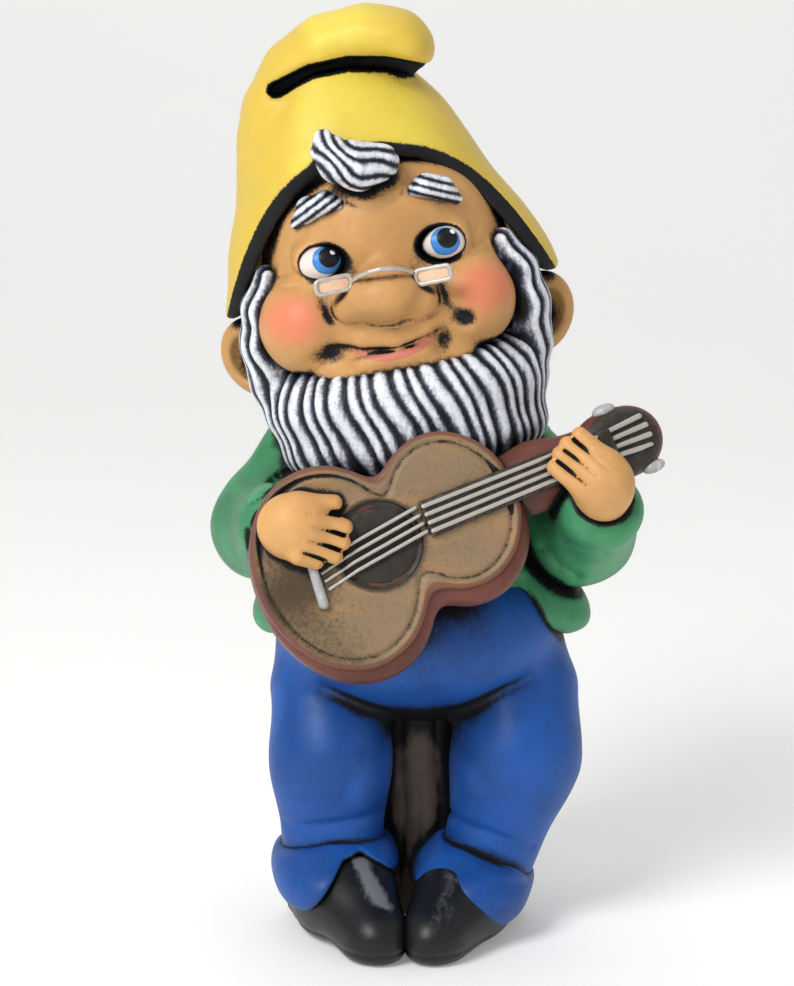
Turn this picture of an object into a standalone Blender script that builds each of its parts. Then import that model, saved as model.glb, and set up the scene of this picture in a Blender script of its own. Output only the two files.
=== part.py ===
"""Garden gnome playing a guitar, as a hand-built ceramic figure: hollow castings with the smaller
forms luted onto them. The figure faces -Y, stands on Z = 0 and is sized in metres."""

import math

import bmesh
import bpy
from mathutils import Euler, Matrix, Vector

# ---------------------------------------------------------------- driving dimensions
MM = 0.001
HEAD_PLACE = (-4, 0, 170)  # middle of the head, at nose height
HEAD_LEAN = -9  # degrees about Y: the crown leans towards the figure's right
GUITAR_PLACE = (-5.7, -40, 110)  # middle of the sound hole, on the body's mid-depth
GUITAR_SLOPE = -25  # degrees about Y that the guitar's body rises towards its neck
NECK_SLOPE = -21  # degrees about Y of the neck, which is modelled a little flatter than the body
GUITAR_TILT = -15  # degrees about X that the soundboard looks upwards
GUITAR_YAW = 6  # degrees about Z that the neck's end goes back
JOINT_GAP = 0.5  # clearance of a luted joint between two forms
FOOTPRINT_Z = 0.0  # the plane that the figure stands on

BELLY_MIDDLE = (4, -3, 80)
STUMP_MIDDLE = (4, 16)
STUMP_RADIUS = 18
STUMP_HEIGHT = 61
POUR_HOLE_RADIUS = 9
NECK_HOLE_RADIUS = 12
WAIST_CUT = 97  # height at which the trousers' casting ends inside the jacket

BOUT_RADII = (23.2, 18.2)  # lower and upper bout of the soundboard, measured across it
BOUT_SQUASH = 0.83  # the bouts are shorter along the guitar than across it
BOUT_PLACES = (-9.2, 18.8)  # from the sound hole, before the squash
RIM_OVERHANG = 1.8  # how far the guitar's rim stands out past the soundboard
GUITAR_DEPTH = 13
SOUNDBOARD_THICKNESS = 2.0
SOUND_HOLE_RADIUS = 10.3
STRING_COUNT = 4
STRING_PITCH = 2.1
STRING_RADIUS = 0.65
NECK_START = 10.5  # from the sound hole to where the neck's own slope begins
NECK_END = 61.0
FRETBOARD_THICKNESS = 1.2
FRETBOARD_HALF_WIDTHS = (5.2, 4.4)
HEADSTOCK_MIDDLE = 66.0

EYE_SPREAD = 14.2
EYE_HEIGHT = 10.6
LENS_SIZE = (10.4, 4.6)
LENS_PLACE = (12.2, -36.0, 4.6)

COLOURS = {
    "hat_yellow": (0.78, 0.56, 0.08),
    "skin": (0.72, 0.42, 0.17),
    "hair_white": (0.62, 0.63, 0.67),
    "jacket_green": (0.04, 0.26, 0.10),
    "trouser_blue": (0.03, 0.13, 0.50),
    "shoe_black": (0.02, 0.02, 0.025),
    "guitar_side": (0.33, 0.11, 0.06),
    "guitar_top": (0.42, 0.25, 0.11),
    "sound_hole": (0.05, 0.035, 0.03),
    "silver": (0.60, 0.58, 0.57),
    "stump_brown": (0.13, 0.085, 0.06),
    "eye_white": (0.80, 0.76, 0.73),
    "lens_pink": (0.80, 0.55, 0.42),
}
ROUGHNESS = 0.5
SILVER_METALLIC = 0.4


# ---------------------------------------------------------------- scene, materials, frames
def clear_scene():
    for obj in list(bpy.data.objects):
        bpy.data.objects.remove(obj)


def new_collection(name):
    collection = bpy.data.collections.new(name)
    bpy.context.scene.collection.children.link(collection)
    return collection


def make_materials():
    made = {}
    for name, colour in COLOURS.items():
        material = bpy.data.materials.new(name)
        material.use_nodes = True
        shader = material.node_tree.nodes["Principled BSDF"]
        shader.inputs["Base Color"].default_value = (*colour, 1)
        shader.inputs["Roughness"].default_value = ROUGHNESS
        shader.inputs["Metallic"].default_value = SILVER_METALLIC if name == "silver" else 0
        made[name] = material
    return made


def frame_empty(name, place, turn, parent):
    """An empty that stands for one tilted sub-assembly. Turn is in degrees about X, Y and Z, Y first."""
    empty = bpy.data.objects.new(name, None)
    PARTS.objects.link(empty)
    empty.rotation_mode = "YXZ"
    empty.location = Vector(place) * MM
    empty.rotation_euler = [math.radians(a) for a in turn]
    empty.parent = parent
    return empty


# ---------------------------------------------------------------- modelling helpers, in millimetres
def ball(centre, radii, turn=(0, 0, 0)):
    """One lump of clay: an ellipsoid, turned by degrees about X, Y and Z."""
    return (Vector(centre), Vector(radii), Euler([math.radians(a) for a in turn]))


def limb(points, radii, spacing=0.35):
    """A chain of round lumps through the points, whose radius runs from one to the next."""
    lumps = []
    for k in range(len(points) - 1):
        start, end = Vector(points[k]), Vector(points[k + 1])
        steps = max(2, int((end - start).length / (spacing * min(radii[k], radii[k + 1]))))
        for i in range(steps + 1):
            share = i / steps
            radius = radii[k] + (radii[k + 1] - radii[k]) * share
            lumps.append(ball(start.lerp(end, share), (radius, radius, radius)))
    return lumps


def lumps_mesh(name, lumps):
    """All the lumps as overlapping spheres in one mesh."""
    bm = bmesh.new()
    for centre, radii, turn in lumps:
        place = Matrix.Translation(centre * MM) @ turn.to_matrix().to_4x4()
        place = place @ Matrix.Diagonal((*(radii * MM), 1))
        bmesh.ops.create_icosphere(bm, subdivisions=3, radius=1.0, matrix=place)
    mesh = bpy.data.meshes.new(name)
    bm.to_mesh(mesh)
    bm.free()
    return mesh


def add_object(name, mesh, parent, collection):
    obj = bpy.data.objects.new(name, mesh)
    collection.objects.link(obj)
    obj.parent = parent
    return obj


def press_together(obj, voxel, smoothing, keep):
    """Merges the lumps into one skin, smooths the creases and thins the triangles."""
    remesh = obj.modifiers.new("one_skin", "REMESH")
    remesh.mode = "VOXEL"
    remesh.voxel_size = voxel * MM
    smooth = obj.modifiers.new("smoothed", "SMOOTH")
    smooth.factor = 0.5
    smooth.iterations = smoothing
    thin = obj.modifiers.new("thinned", "DECIMATE")
    thin.ratio = keep


def hide_cutter(obj):
    obj.hide_render = True
    obj.display_type = "WIRE"
    return obj


def subtract(obj, cutters):
    for cutter in cutters:
        cut = obj.modifiers.new("less_" + cutter.name, "BOOLEAN")
        cut.operation = "DIFFERENCE"
        cut.solver = "EXACT"
        cut.object = cutter


def form(name, slot, lumps, parent, voxel=1.6, smoothing=6, keep=0.054):
    """A modelled form, and a cutter of the same shape that is larger by the joint's gap."""
    mesh = lumps_mesh(name, lumps)
    mesh.materials.append(MATERIALS[slot])
    obj = add_object(name, mesh, parent, PARTS)
    press_together(obj, voxel, smoothing, keep)
    seat = hide_cutter(add_object("seat_" + name, mesh, parent, CUTTERS))
    press_together(seat, voxel, smoothing, keep)
    grow = seat.modifiers.new("gap", "DISPLACE")
    grow.strength = JOINT_GAP * MM
    grow.mid_level = 0
    return obj, seat


def hollow(name, lumps, parent, voxel=2.0, keep=0.02):
    """The inside of a casting, as a cutter."""
    obj = hide_cutter(add_object("inside_" + name, lumps_mesh(name, lumps), parent, CUTTERS))
    press_together(obj, voxel, 4, keep)
    return obj


def block_cutter(name, low, high, parent, turn=(0, 0, 0)):
    """A box cutter between two corners, turned about its middle."""
    low, high = Vector(low), Vector(high)
    bpy.ops.mesh.primitive_cube_add(size=1)
    obj = hide_cutter(bpy.context.object)
    obj.name = name
    move_to(obj, CUTTERS)
    obj.parent = parent
    obj.location = (low + high) / 2 * MM
    obj.scale = (high - low) * MM
    obj.rotation_euler = [math.radians(a) for a in turn]
    return obj


def drum_cutter(name, middle, radius, low, high, parent, sides=24):
    """An upright round cutter between two heights."""
    height = (high - low) * MM
    bpy.ops.mesh.primitive_cylinder_add(vertices=sides, radius=radius * MM, depth=height)
    obj = hide_cutter(bpy.context.object)
    obj.name = name
    move_to(obj, CUTTERS)
    obj.parent = parent
    obj.location = Vector((middle[0], middle[1], (low + high) / 2)) * MM
    return obj


def move_to(obj, collection):
    for old in list(obj.users_collection):
        old.objects.unlink(obj)
    collection.objects.link(obj)


def wire(name, slot, points, radius, parent, closed=False, resolution=2):
    """A round rod or wire through the points, in millimetres."""
    curve = bpy.data.curves.new(name, "CURVE")
    curve.dimensions = "3D"
    curve.bevel_depth = radius * MM
    curve.bevel_resolution = resolution
    curve.use_fill_caps = True
    spline = curve.splines.new("POLY")
    spline.points.add(len(points) - 1)
    for point, place in zip(spline.points, points):
        point.co = (*(Vector(place) * MM), 1)
    spline.use_cyclic_u = closed
    curve.materials.append(MATERIALS[slot])
    return add_object(name, curve, parent, PARTS)


def flat_outline(name, outline, depth, bevel, parent, collection):
    """A flat shape of the outline, standing in the XZ plane and extruded along Y, as a mesh object."""
    curve = bpy.data.curves.new(name, "CURVE")
    curve.dimensions = "2D"
    curve.fill_mode = "BOTH"
    curve.extrude = (depth / 2 - bevel) * MM
    curve.bevel_depth = bevel * MM
    curve.bevel_resolution = 1
    spline = curve.splines.new("POLY")
    spline.points.add(len(outline) - 1)
    for point, (across, up) in zip(spline.points, outline):
        point.co = (across * MM, up * MM, 0, 1)
    spline.use_cyclic_u = True
    source = add_object(name + "_outline", curve, None, collection)
    source.rotation_euler = (math.radians(90), 0, 0)
    bpy.context.view_layer.update()
    mesh = bpy.data.meshes.new_from_object(source.evaluated_get(bpy.context.evaluated_depsgraph_get()))
    mesh.transform(source.matrix_world)
    weld_caps(mesh)
    bpy.data.objects.remove(source)
    return add_object(name, mesh, parent, collection)


def weld_caps(mesh):
    bm = bmesh.new()
    bm.from_mesh(mesh)
    bmesh.ops.remove_doubles(bm, verts=bm.verts, dist=0.00001)
    bmesh.ops.recalc_face_normals(bm, faces=bm.faces)
    bm.to_mesh(mesh)
    bm.free()


# ---------------------------------------------------------------- legs, stump and shoes
def mirror_x(points, side, middle=0.0):
    """Points given for the figure's left, moved to the asked side of a middle plane."""
    return [(middle + side * x, y, z) for x, y, z in points]


def make_shoe(name, side, lift):
    """A round-toed shoe whose toe turns inwards. Lift makes the two shoes differ a little."""
    lumps = [
        ball((side * 20, 0, 10), (13.5, 14, 13 + lift)),
        ball((side * 17, -13, 10), (13.5, 18, 12 + lift)),
        ball((side * 14, -23, 10.5 + lift), (12.5, 15, 11), (12, 0, side * -12)),
        ball((side * 8.5, -35, 6.5), (9.5, 12.5, 9), (8, 0, side * -18)),
    ]
    return form(name, "shoe_black", lumps, ROOT, voxel=1.5, smoothing=5, keep=0.0432)


def make_trousers():
    """Belly, seat and both legs as one hollow casting."""
    x, y, z = BELLY_MIDDLE
    lumps = [
        ball((x, y, z), (36, 31, 25)),
        ball((x + 1, y + 6, z - 8), (38.5, 27, 19)),
        ball((x + 1, 12, z - 14), (27, 19, 14)),
    ]
    lumps += limb([(-16, -2, 64), (-19, -11, 46), (-19, -9, 24)], [19, 16, 14.5])
    lumps += limb([(25.5, -2, 64), (28.5, -11, 47), (20.5, -9, 22)], [20, 17, 13.5])
    trousers, seat = form("trousers", "trouser_blue", lumps, ROOT, voxel=2.0, smoothing=4, keep=0.055)
    inside = [ball((x, y + 1, z - 1), (29, 23.5, 19)), ball((x + 1, 10, z - 12), (19, 13, 9))]
    inside += limb([(-16, -2, 64), (-19, -11, 46), (-19, -9, 34)], [12.5, 10, 8.5])
    inside += limb([(25.5, -2, 64), (28.5, -11, 47), (22.5, -9, 34)], [13.5, 11, 7.5])
    inside += limb([(x, 0, z), (x, 0, z + 16)], [21, 21])
    cavity = hollow("trousers", inside, ROOT)
    waist = block_cutter("above_waist", (-60, -60, WAIST_CUT), (60, 60, WAIST_CUT + 40), ROOT)
    ankles = block_cutter("below_ankles", (-60, -60, -10), (60, 60, 17), ROOT)
    vent = drum_cutter("seat_vent", STUMP_MIDDLE, POUR_HOLE_RADIUS - 1, 40, 70, ROOT)
    subtract(trousers, [cavity, waist, ankles, vent])
    return trousers, seat


def make_stump():
    """The tree stump that the figure sits on: a faceted post with the pour hole up its middle."""
    bpy.ops.mesh.primitive_cone_add(
        vertices=11,
        radius1=STUMP_RADIUS * MM,
        radius2=(STUMP_RADIUS - 1.5) * MM,
        depth=STUMP_HEIGHT * MM,
    )
    obj = bpy.context.object
    obj.name = "stump"
    move_to(obj, PARTS)
    obj.parent = ROOT
    obj.location = Vector((*STUMP_MIDDLE, STUMP_HEIGHT / 2)) * MM
    obj.rotation_euler = (0, 0, math.radians(9))
    obj.data.materials.append(MATERIALS["stump_brown"])
    soften = obj.modifiers.new("worn_edges", "BEVEL")
    soften.width = 1.2 * MM
    soften.segments = 2
    pour = drum_cutter("pour_hole", STUMP_MIDDLE, POUR_HOLE_RADIUS, -5, STUMP_HEIGHT + 5, ROOT)
    subtract(obj, [pour])
    seat = hide_cutter(add_object("seat_stump", obj.data, ROOT, CUTTERS))
    seat.location = obj.location
    seat.rotation_euler = obj.rotation_euler
    seat.scale = (1.02, 1.02, 1.0)
    return obj, seat


def make_cuff(name, middle, radii):
    """A trouser end that flares over the shoe."""
    x, y, z = middle
    lumps = [
        ball(middle, radii),
        ball((x, y - 4, z - 2), (radii[0] - 1.5, radii[1] - 2, radii[2])),
    ]
    return form(name, "trouser_blue", lumps, ROOT, voxel=1.5, smoothing=3, keep=0.035)


# ---------------------------------------------------------------- jacket, sleeves and hands
def make_jacket():
    lumps = [
        ball((2, 3, 106), (35, 28, 24)),
        ball((3, 4, 92), (39, 30, 17)),
        ball((4, 3, 84), (42, 31, 9)),
        ball((37, -3, 87), (13.5, 16, 7), (0, 34, 0)),
        ball((-29, -3, 87), (12, 16, 7), (0, -30, 0)),
    ]
    lumps += limb([(-20, 4, 122), (24, 5, 122)], [17, 17])
    lumps += limb([(0, 3, 126), (-1, 2, 138)], [19, 17])
    jacket, seat = form("jacket", "jacket_green", lumps, ROOT, voxel=2.0, smoothing=4, keep=0.045)
    inside = [ball((2, 3, 108), (27, 20.5, 20)), ball((2, 2, 95), (30, 22, 16))]
    inside += limb([(1, 3, 118), (0, 2, 146)], [14, NECK_HOLE_RADIUS])
    cavity = hollow("jacket", inside, ROOT)
    below = block_cutter("below_hem", (-70, -70, 50), (70, 70, 76.5), ROOT)
    opening = hollow("coat_front", [ball((2, -32, 84), (25, 22, 13))], ROOT)
    above = block_cutter("above_collar", (-60, -60, 145), (60, 60, 170), ROOT)
    subtract(jacket, [cavity, below, opening, above])
    return jacket, seat


def make_sleeve(name, points, radii):
    return form(name, "jacket_green", limb(points, radii), ROOT, voxel=1.6, smoothing=4, keep=0.035)


def make_hand(name, palm, fingers, finger_radius=2.5):
    """A plump mitten of a hand with its fingers laid side by side."""
    lumps = [ball(*palm)]
    for root, tip in fingers:
        lumps += limb([root, tip], [finger_radius + 0.7, finger_radius])
    return form(name, "skin", lumps, ROOT, voxel=1.0, smoothing=2, keep=0.0594)


# ---------------------------------------------------------------- head, in the head's own frame
def make_head():
    lumps = [
        ball((0, -1, 8), (34, 32, 33)),
        ball((0, -13, -8), (24, 20, 16)),
        ball((0, -6, 20), (31, 26, 18)),
    ]
    for side in (-1, 1):
        lumps.append(ball((side * 20.5, -19, -5), (13.5, 14, 13)))
    lumps += limb([(3, 3, -16), (3, 3, -27)], [17, 16])
    head, seat = form("head", "skin", lumps, HEAD, voxel=1.8, smoothing=4, keep=0.045)
    inside = [ball((0, 0, 8), (27, 25, 26)), ball((0, -10, -4), (17, 14, 11))]
    inside += limb([(3, 3, -10), (3, 3, -40)], [11, 11])
    inside += limb([(-2, 3, 20), (-4, 3, 52)], [13, 11])
    subtract(head, [hollow("head", inside, HEAD)])
    return head, seat


def make_hat():
    """A tall soft hat whose peak folds over to the figure's left."""
    lumps = [
        ball((0, 2, 8), (43.5, 41, 30)),
        ball((-2, 2, 26), (38, 36, 28)),
        ball((-6, 3, 42), (28, 27, 20)),
    ]
    lumps += limb([(-16, 2, 46), (-12, 2, 56), (0, 0, 60.5), (11, -4, 59)], [13, 11, 9.5, 8.5])
    lumps.append(ball((13.5, -5, 57.5), (7.5, 8, 7)))
    hat, seat = form("hat", "hat_yellow", lumps, HEAD, voxel=2.0, smoothing=3, keep=0.055)
    inside = [ball((0, 3, 20), (31, 29, 27)), ball((-4, 3, 38), (21, 20, 14))]
    cavity = hollow("hat", inside, HEAD)
    below = block_cutter("below_brim", (-70, -70, -70), (70, 70, -5), HEAD)
    subtract(hat, [cavity, below, make_brim_arch(HEAD)])
    return hat, seat


def make_brim_arch(parent, half_width=43.0, peak=34.5, sides=14):
    """Cutter for the arched opening that the face looks out of."""
    outline = [(-half_width, -60)]
    for i in range(sides + 1):
        across = half_width * (2 * i / sides - 1)
        outline.append((across, peak - (peak + 4) * (across / half_width) ** 2))
    outline.append((half_width, -60))
    arch = flat_outline("brim_arch", outline, 64, 0, parent, CUTTERS)
    arch.location = Vector((0, -34, 0)) * MM
    return hide_cutter(arch)


def make_beard():
    lumps = [
        ball((0, -7, -27), (37.5, 30, 19)),
        ball((1, -11, -36), (33, 26, 13)),
    ]
    for side in (-1, 1):
        lumps += limb([(side * 33, -11, 12), (side * 34.5, -9, -16)], [4.5, 8])
    return form("beard", "hair_white", lumps, HEAD, voxel=1.8, smoothing=3, keep=0.045)


def make_back_hair():
    """The hair that shows between the hat, the ears and the collar."""
    lumps = [ball((0, 8, -12), (36, 29, 17)), ball((0, 12, -24), (27, 22, 12))]
    return form("back_hair", "hair_white", lumps, HEAD, voxel=1.8, smoothing=3, keep=0.04)


def make_ear(name, side):
    lumps = [
        ball((side * 40, 4, -13), (8, 5, 9.5), (0, side * 14, 0)),
        ball((side * 36, 3, -17), (6, 4.5, 6)),
    ]
    return form(name, "skin", lumps, HEAD, voxel=1.0, smoothing=2, keep=0.054)


def make_nose():
    lumps = [ball((-0.5, -35, 0), (9, 8.5, 7.2))]
    for side in (-1, 1):
        lumps.append(ball((side * 8.8, -31.5, -1.8), (5, 5.5, 4.8)))
    return form("nose", "skin", lumps, HEAD, voxel=0.9, smoothing=2, keep=0.0594)


def make_eye(name, side):
    lumps = [ball((side * EYE_SPREAD, -26.5, EYE_HEIGHT), (7, 6.5, 6.4))]
    return form(name, "eye_white", lumps, HEAD, voxel=0.9, smoothing=1, keep=0.0675)


def make_eyebrow(name, side):
    points = mirror_x([(20.5, -26.5, 20.5), (15.5, -29, 24.5), (10, -30.5, 24.5)], side)
    return form(name, "hair_white", limb(points, [2.2, 3.2, 2.2]), HEAD, voxel=0.8, smoothing=2, keep=0.054)


def make_forelock():
    points = [(-11, -34.5, 41), (-8, -35.5, 35.5), (-1, -34, 31.5), (5, -32, 31)]
    return form("forelock", "hair_white", limb(points, [3.4, 5.0, 5.0, 3.2]), HEAD, voxel=0.9, keep=0.054)


# ---------------------------------------------------------------- spectacles
def rounded_rectangle(width, height, corner, steps=3):
    """Points of a rectangle with round corners, anticlockwise from the right."""
    points = []
    for k, (sx, sz) in enumerate([(1, 1), (-1, 1), (-1, -1), (1, -1)]):
        for i in range(steps + 1):
            angle = math.radians(90 * (k + i / steps))
            across = sx * (width / 2 - corner) + corner * math.cos(angle)
            up = sz * (height / 2 - corner) + corner * math.sin(angle)
            points.append((across, up))
    return points


def make_spectacles():
    """Half-moon reading glasses low on the nose: two rims, two lenses and the bow between them."""
    notches = []
    for name, side in (("right", -1), ("left", 1)):
        lens_frame = frame_empty(name + "_lens_frame", mirror_x([LENS_PLACE], side)[0], (0, 0, side * 14), HEAD)
        outline = rounded_rectangle(*LENS_SIZE, 1.9)
        rim_points = [(across, 0, up) for across, up in outline]
        wire(name + "_lens_rim", "silver", rim_points, 0.75, lens_frame, True, 1)
        inner = rounded_rectangle(LENS_SIZE[0] - 2.4, LENS_SIZE[1] - 2.4, 0.9)
        lens = flat_outline(name + "_lens", inner, 0.9, 0, lens_frame, PARTS)
        lens.data.materials.append(MATERIALS["lens_pink"])
        notches.append(block_cutter(name + "_lens_notch", (-6.6, -1.4, -3.6), (6.6, 4, 3.6), lens_frame))
    steps = 8
    bow = []
    for i in range(steps + 1):
        share = 2 * i / steps - 1
        rise = math.cos(share * math.pi / 2)
        bow.append((5.3 * share, -39.4 - 5.0 * rise, 6.0 + 3.2 * rise))
    wire("spectacle_bow", "silver", bow, 0.7, HEAD)
    return notches


# ---------------------------------------------------------------- guitar, in the guitar's own frame
def guitar_outline(overhang, steps=13):
    """The two bouts as arcs that meet at the waist, anticlockwise from the waist's upper point."""
    big, small = (radius + overhang for radius in BOUT_RADII)
    apart = BOUT_PLACES[1] - BOUT_PLACES[0]
    waist = (apart**2 + big**2 - small**2) / (2 * apart)
    big_half = math.acos(waist / big)
    small_half = math.acos((apart - waist) / small)
    points = []
    for i in range(steps + 1):
        angle = big_half + (2 * math.pi - 2 * big_half) * i / steps
        points.append((BOUT_SQUASH * (BOUT_PLACES[0] + big * math.cos(angle)), big * math.sin(angle)))
    for i in range(1, steps):
        angle = -(math.pi - small_half) + 2 * (math.pi - small_half) * i / steps
        points.append((BOUT_SQUASH * (BOUT_PLACES[1] + small * math.cos(angle)), small * math.sin(angle)))
    return points


def make_guitar_body():
    body = flat_outline("guitar_body", guitar_outline(RIM_OVERHANG), GUITAR_DEPTH, 3.0, GUITAR, PARTS)
    body.data.materials.append(MATERIALS["guitar_side"])
    seat = flat_outline(
        "seat_guitar_body",
        guitar_outline(RIM_OVERHANG + JOINT_GAP),
        GUITAR_DEPTH + 2 * JOINT_GAP,
        3.0,
        GUITAR,
        CUTTERS,
    )
    return body, hide_cutter(seat)


def make_soundboard():
    """The front of the guitar, a thin plate with the round sound hole through it."""
    board = flat_outline("soundboard", guitar_outline(0), SOUNDBOARD_THICKNESS, 0, GUITAR, PARTS)
    board.data.materials.append(MATERIALS["guitar_top"])
    board.location = Vector((0, board_middle(), 0)) * MM
    hole = drum_cutter("sound_hole_cutter", (0, 0), SOUND_HOLE_RADIUS, -20, 20, GUITAR, sides=32)
    hole.rotation_euler = (math.radians(90), 0, 0)
    subtract(board, [hole])
    grown = guitar_outline(JOINT_GAP)
    seat = flat_outline("seat_soundboard", grown, SOUNDBOARD_THICKNESS + 2 * JOINT_GAP, 0, GUITAR, CUTTERS)
    seat.location = board.location
    return board, hide_cutter(seat)


def board_middle():
    return -(GUITAR_DEPTH / 2 + JOINT_GAP + SOUNDBOARD_THICKNESS / 2)


def board_front():
    return board_middle() - SOUNDBOARD_THICKNESS / 2


def make_sound_hole_disc():
    """The dark floor that closes the sound hole."""
    bpy.ops.mesh.primitive_cylinder_add(vertices=32, radius=(SOUND_HOLE_RADIUS - 0.4) * MM, depth=0.8 * MM)
    disc = bpy.context.object
    disc.name = "sound_hole_disc"
    move_to(disc, PARTS)
    disc.parent = GUITAR
    disc.location = Vector((0, -(GUITAR_DEPTH / 2 + JOINT_GAP + 0.4), 0)) * MM
    disc.rotation_euler = (math.radians(90), 0, 0)
    disc.data.materials.append(MATERIALS["sound_hole"])
    return disc


def make_bridge():
    depth = board_front() - 1.5
    points = [(-21.5, depth, 3.4), (-21.0, depth, -8.4)]
    return wire("guitar_bridge", "silver", points, 1.2, GUITAR, resolution=3)


def string_offset(k):
    return (k - (STRING_COUNT - 1) / 2) * STRING_PITCH


def make_neck():
    """The neck's brown sides and heel, in the neck's own frame."""
    lumps = limb([(35, 0, 0), (42, 1, 0), (NECK_END, 1.5, 0)], [8.2, 7.6, 6.4])
    return form("guitar_neck", "guitar_side", lumps, NECK, voxel=1.2, smoothing=2, keep=0.054)


def make_fretboard():
    """The dark strip that the strings lie on."""
    board = flat_outline("fretboard", fretboard_outline(0), FRETBOARD_THICKNESS, 0, NECK, PARTS)
    board.location = Vector((0, board_front() - JOINT_GAP - FRETBOARD_THICKNESS / 2, 0)) * MM
    board.data.materials.append(MATERIALS["sound_hole"])
    thickness = FRETBOARD_THICKNESS + 2 * JOINT_GAP
    seat = flat_outline("seat_fretboard", fretboard_outline(JOINT_GAP), thickness, 0, NECK, CUTTERS)
    seat.location = board.location
    return board, hide_cutter(seat)


def fretboard_outline(extra):
    half_start, half_end = FRETBOARD_HALF_WIDTHS
    start, end = SOUND_HOLE_RADIUS + 1.6 - extra, NECK_END + extra
    return [
        (start, -half_start - extra),
        (end, -half_end - extra),
        (end, half_end + extra),
        (start, half_start + extra),
    ]


def make_headstock():
    lumps = [
        ball((HEADSTOCK_MIDDLE, -3, -0.5), (9.5, 6, 8.6)),
        ball((HEADSTOCK_MIDDLE - 6, -2.5, 0), (7, 5.5, 7.6)),
    ]
    return form("headstock", "guitar_side", lumps, NECK, voxel=1.2, smoothing=1, keep=0.0594)


def make_strings():
    """Each string runs from the bridge over the sound hole, then along the fretboard."""
    pieces = []
    over_board = string_depth()
    for k in range(STRING_COUNT):
        across = string_offset(k)
        points = [
            (-19.4, over_board, across - 2.5),
            (0, over_board, across - 1.1),
            (NECK_START, over_board, across - 0.2),
        ]
        turned = [neck_from_guitar(p) for p in points]
        turned.append((NECK_END - 16, over_board, across))
        pieces.append(wire(f"string_{k + 1}", "silver", turned, STRING_RADIUS, NECK))
    return pieces


def string_depth():
    return board_front() - JOINT_GAP - FRETBOARD_THICKNESS - STRING_RADIUS - 0.3


def make_strings_clearance():
    """Cutter that keeps the strumming hand on top of the strings and the bridge."""
    top = string_depth() - STRING_RADIUS - JOINT_GAP
    return block_cutter("over_strings", (-27, top, -12), (12, board_front() + 1, 7), GUITAR)


def neck_from_guitar(point):
    """A point of the guitar's frame in the neck's frame, which is turned about Y at the sound hole."""
    return Euler((0, math.radians(GUITAR_SLOPE - NECK_SLOPE), 0)).to_matrix() @ Vector(point)


def make_peg(name, place, turn):
    return form(name, "silver", [ball(place, (3.6, 1.9, 1.7), turn)], NECK, voxel=0.6, smoothing=1, keep=0.0675)


# ---------------------------------------------------------------- assembly
def stand_on_origin():
    """Moves the whole figure so that its box's bottom centre is the origin."""
    bpy.context.view_layer.update()
    graph = bpy.context.evaluated_depsgraph_get()
    corners = []
    for obj in PARTS.objects:
        if obj.type != "EMPTY":
            evaluated = obj.evaluated_get(graph)
            mesh = evaluated.to_mesh()
            corners += [evaluated.matrix_world @ vertex.co for vertex in mesh.vertices]
            evaluated.to_mesh_clear()
    low = Vector([min(c[axis] for c in corners) for axis in range(3)])
    high = Vector([max(c[axis] for c in corners) for axis in range(3)])
    ROOT.location = (-(low.x + high.x) / 2, -(low.y + high.y) / 2, -low.z)


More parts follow.
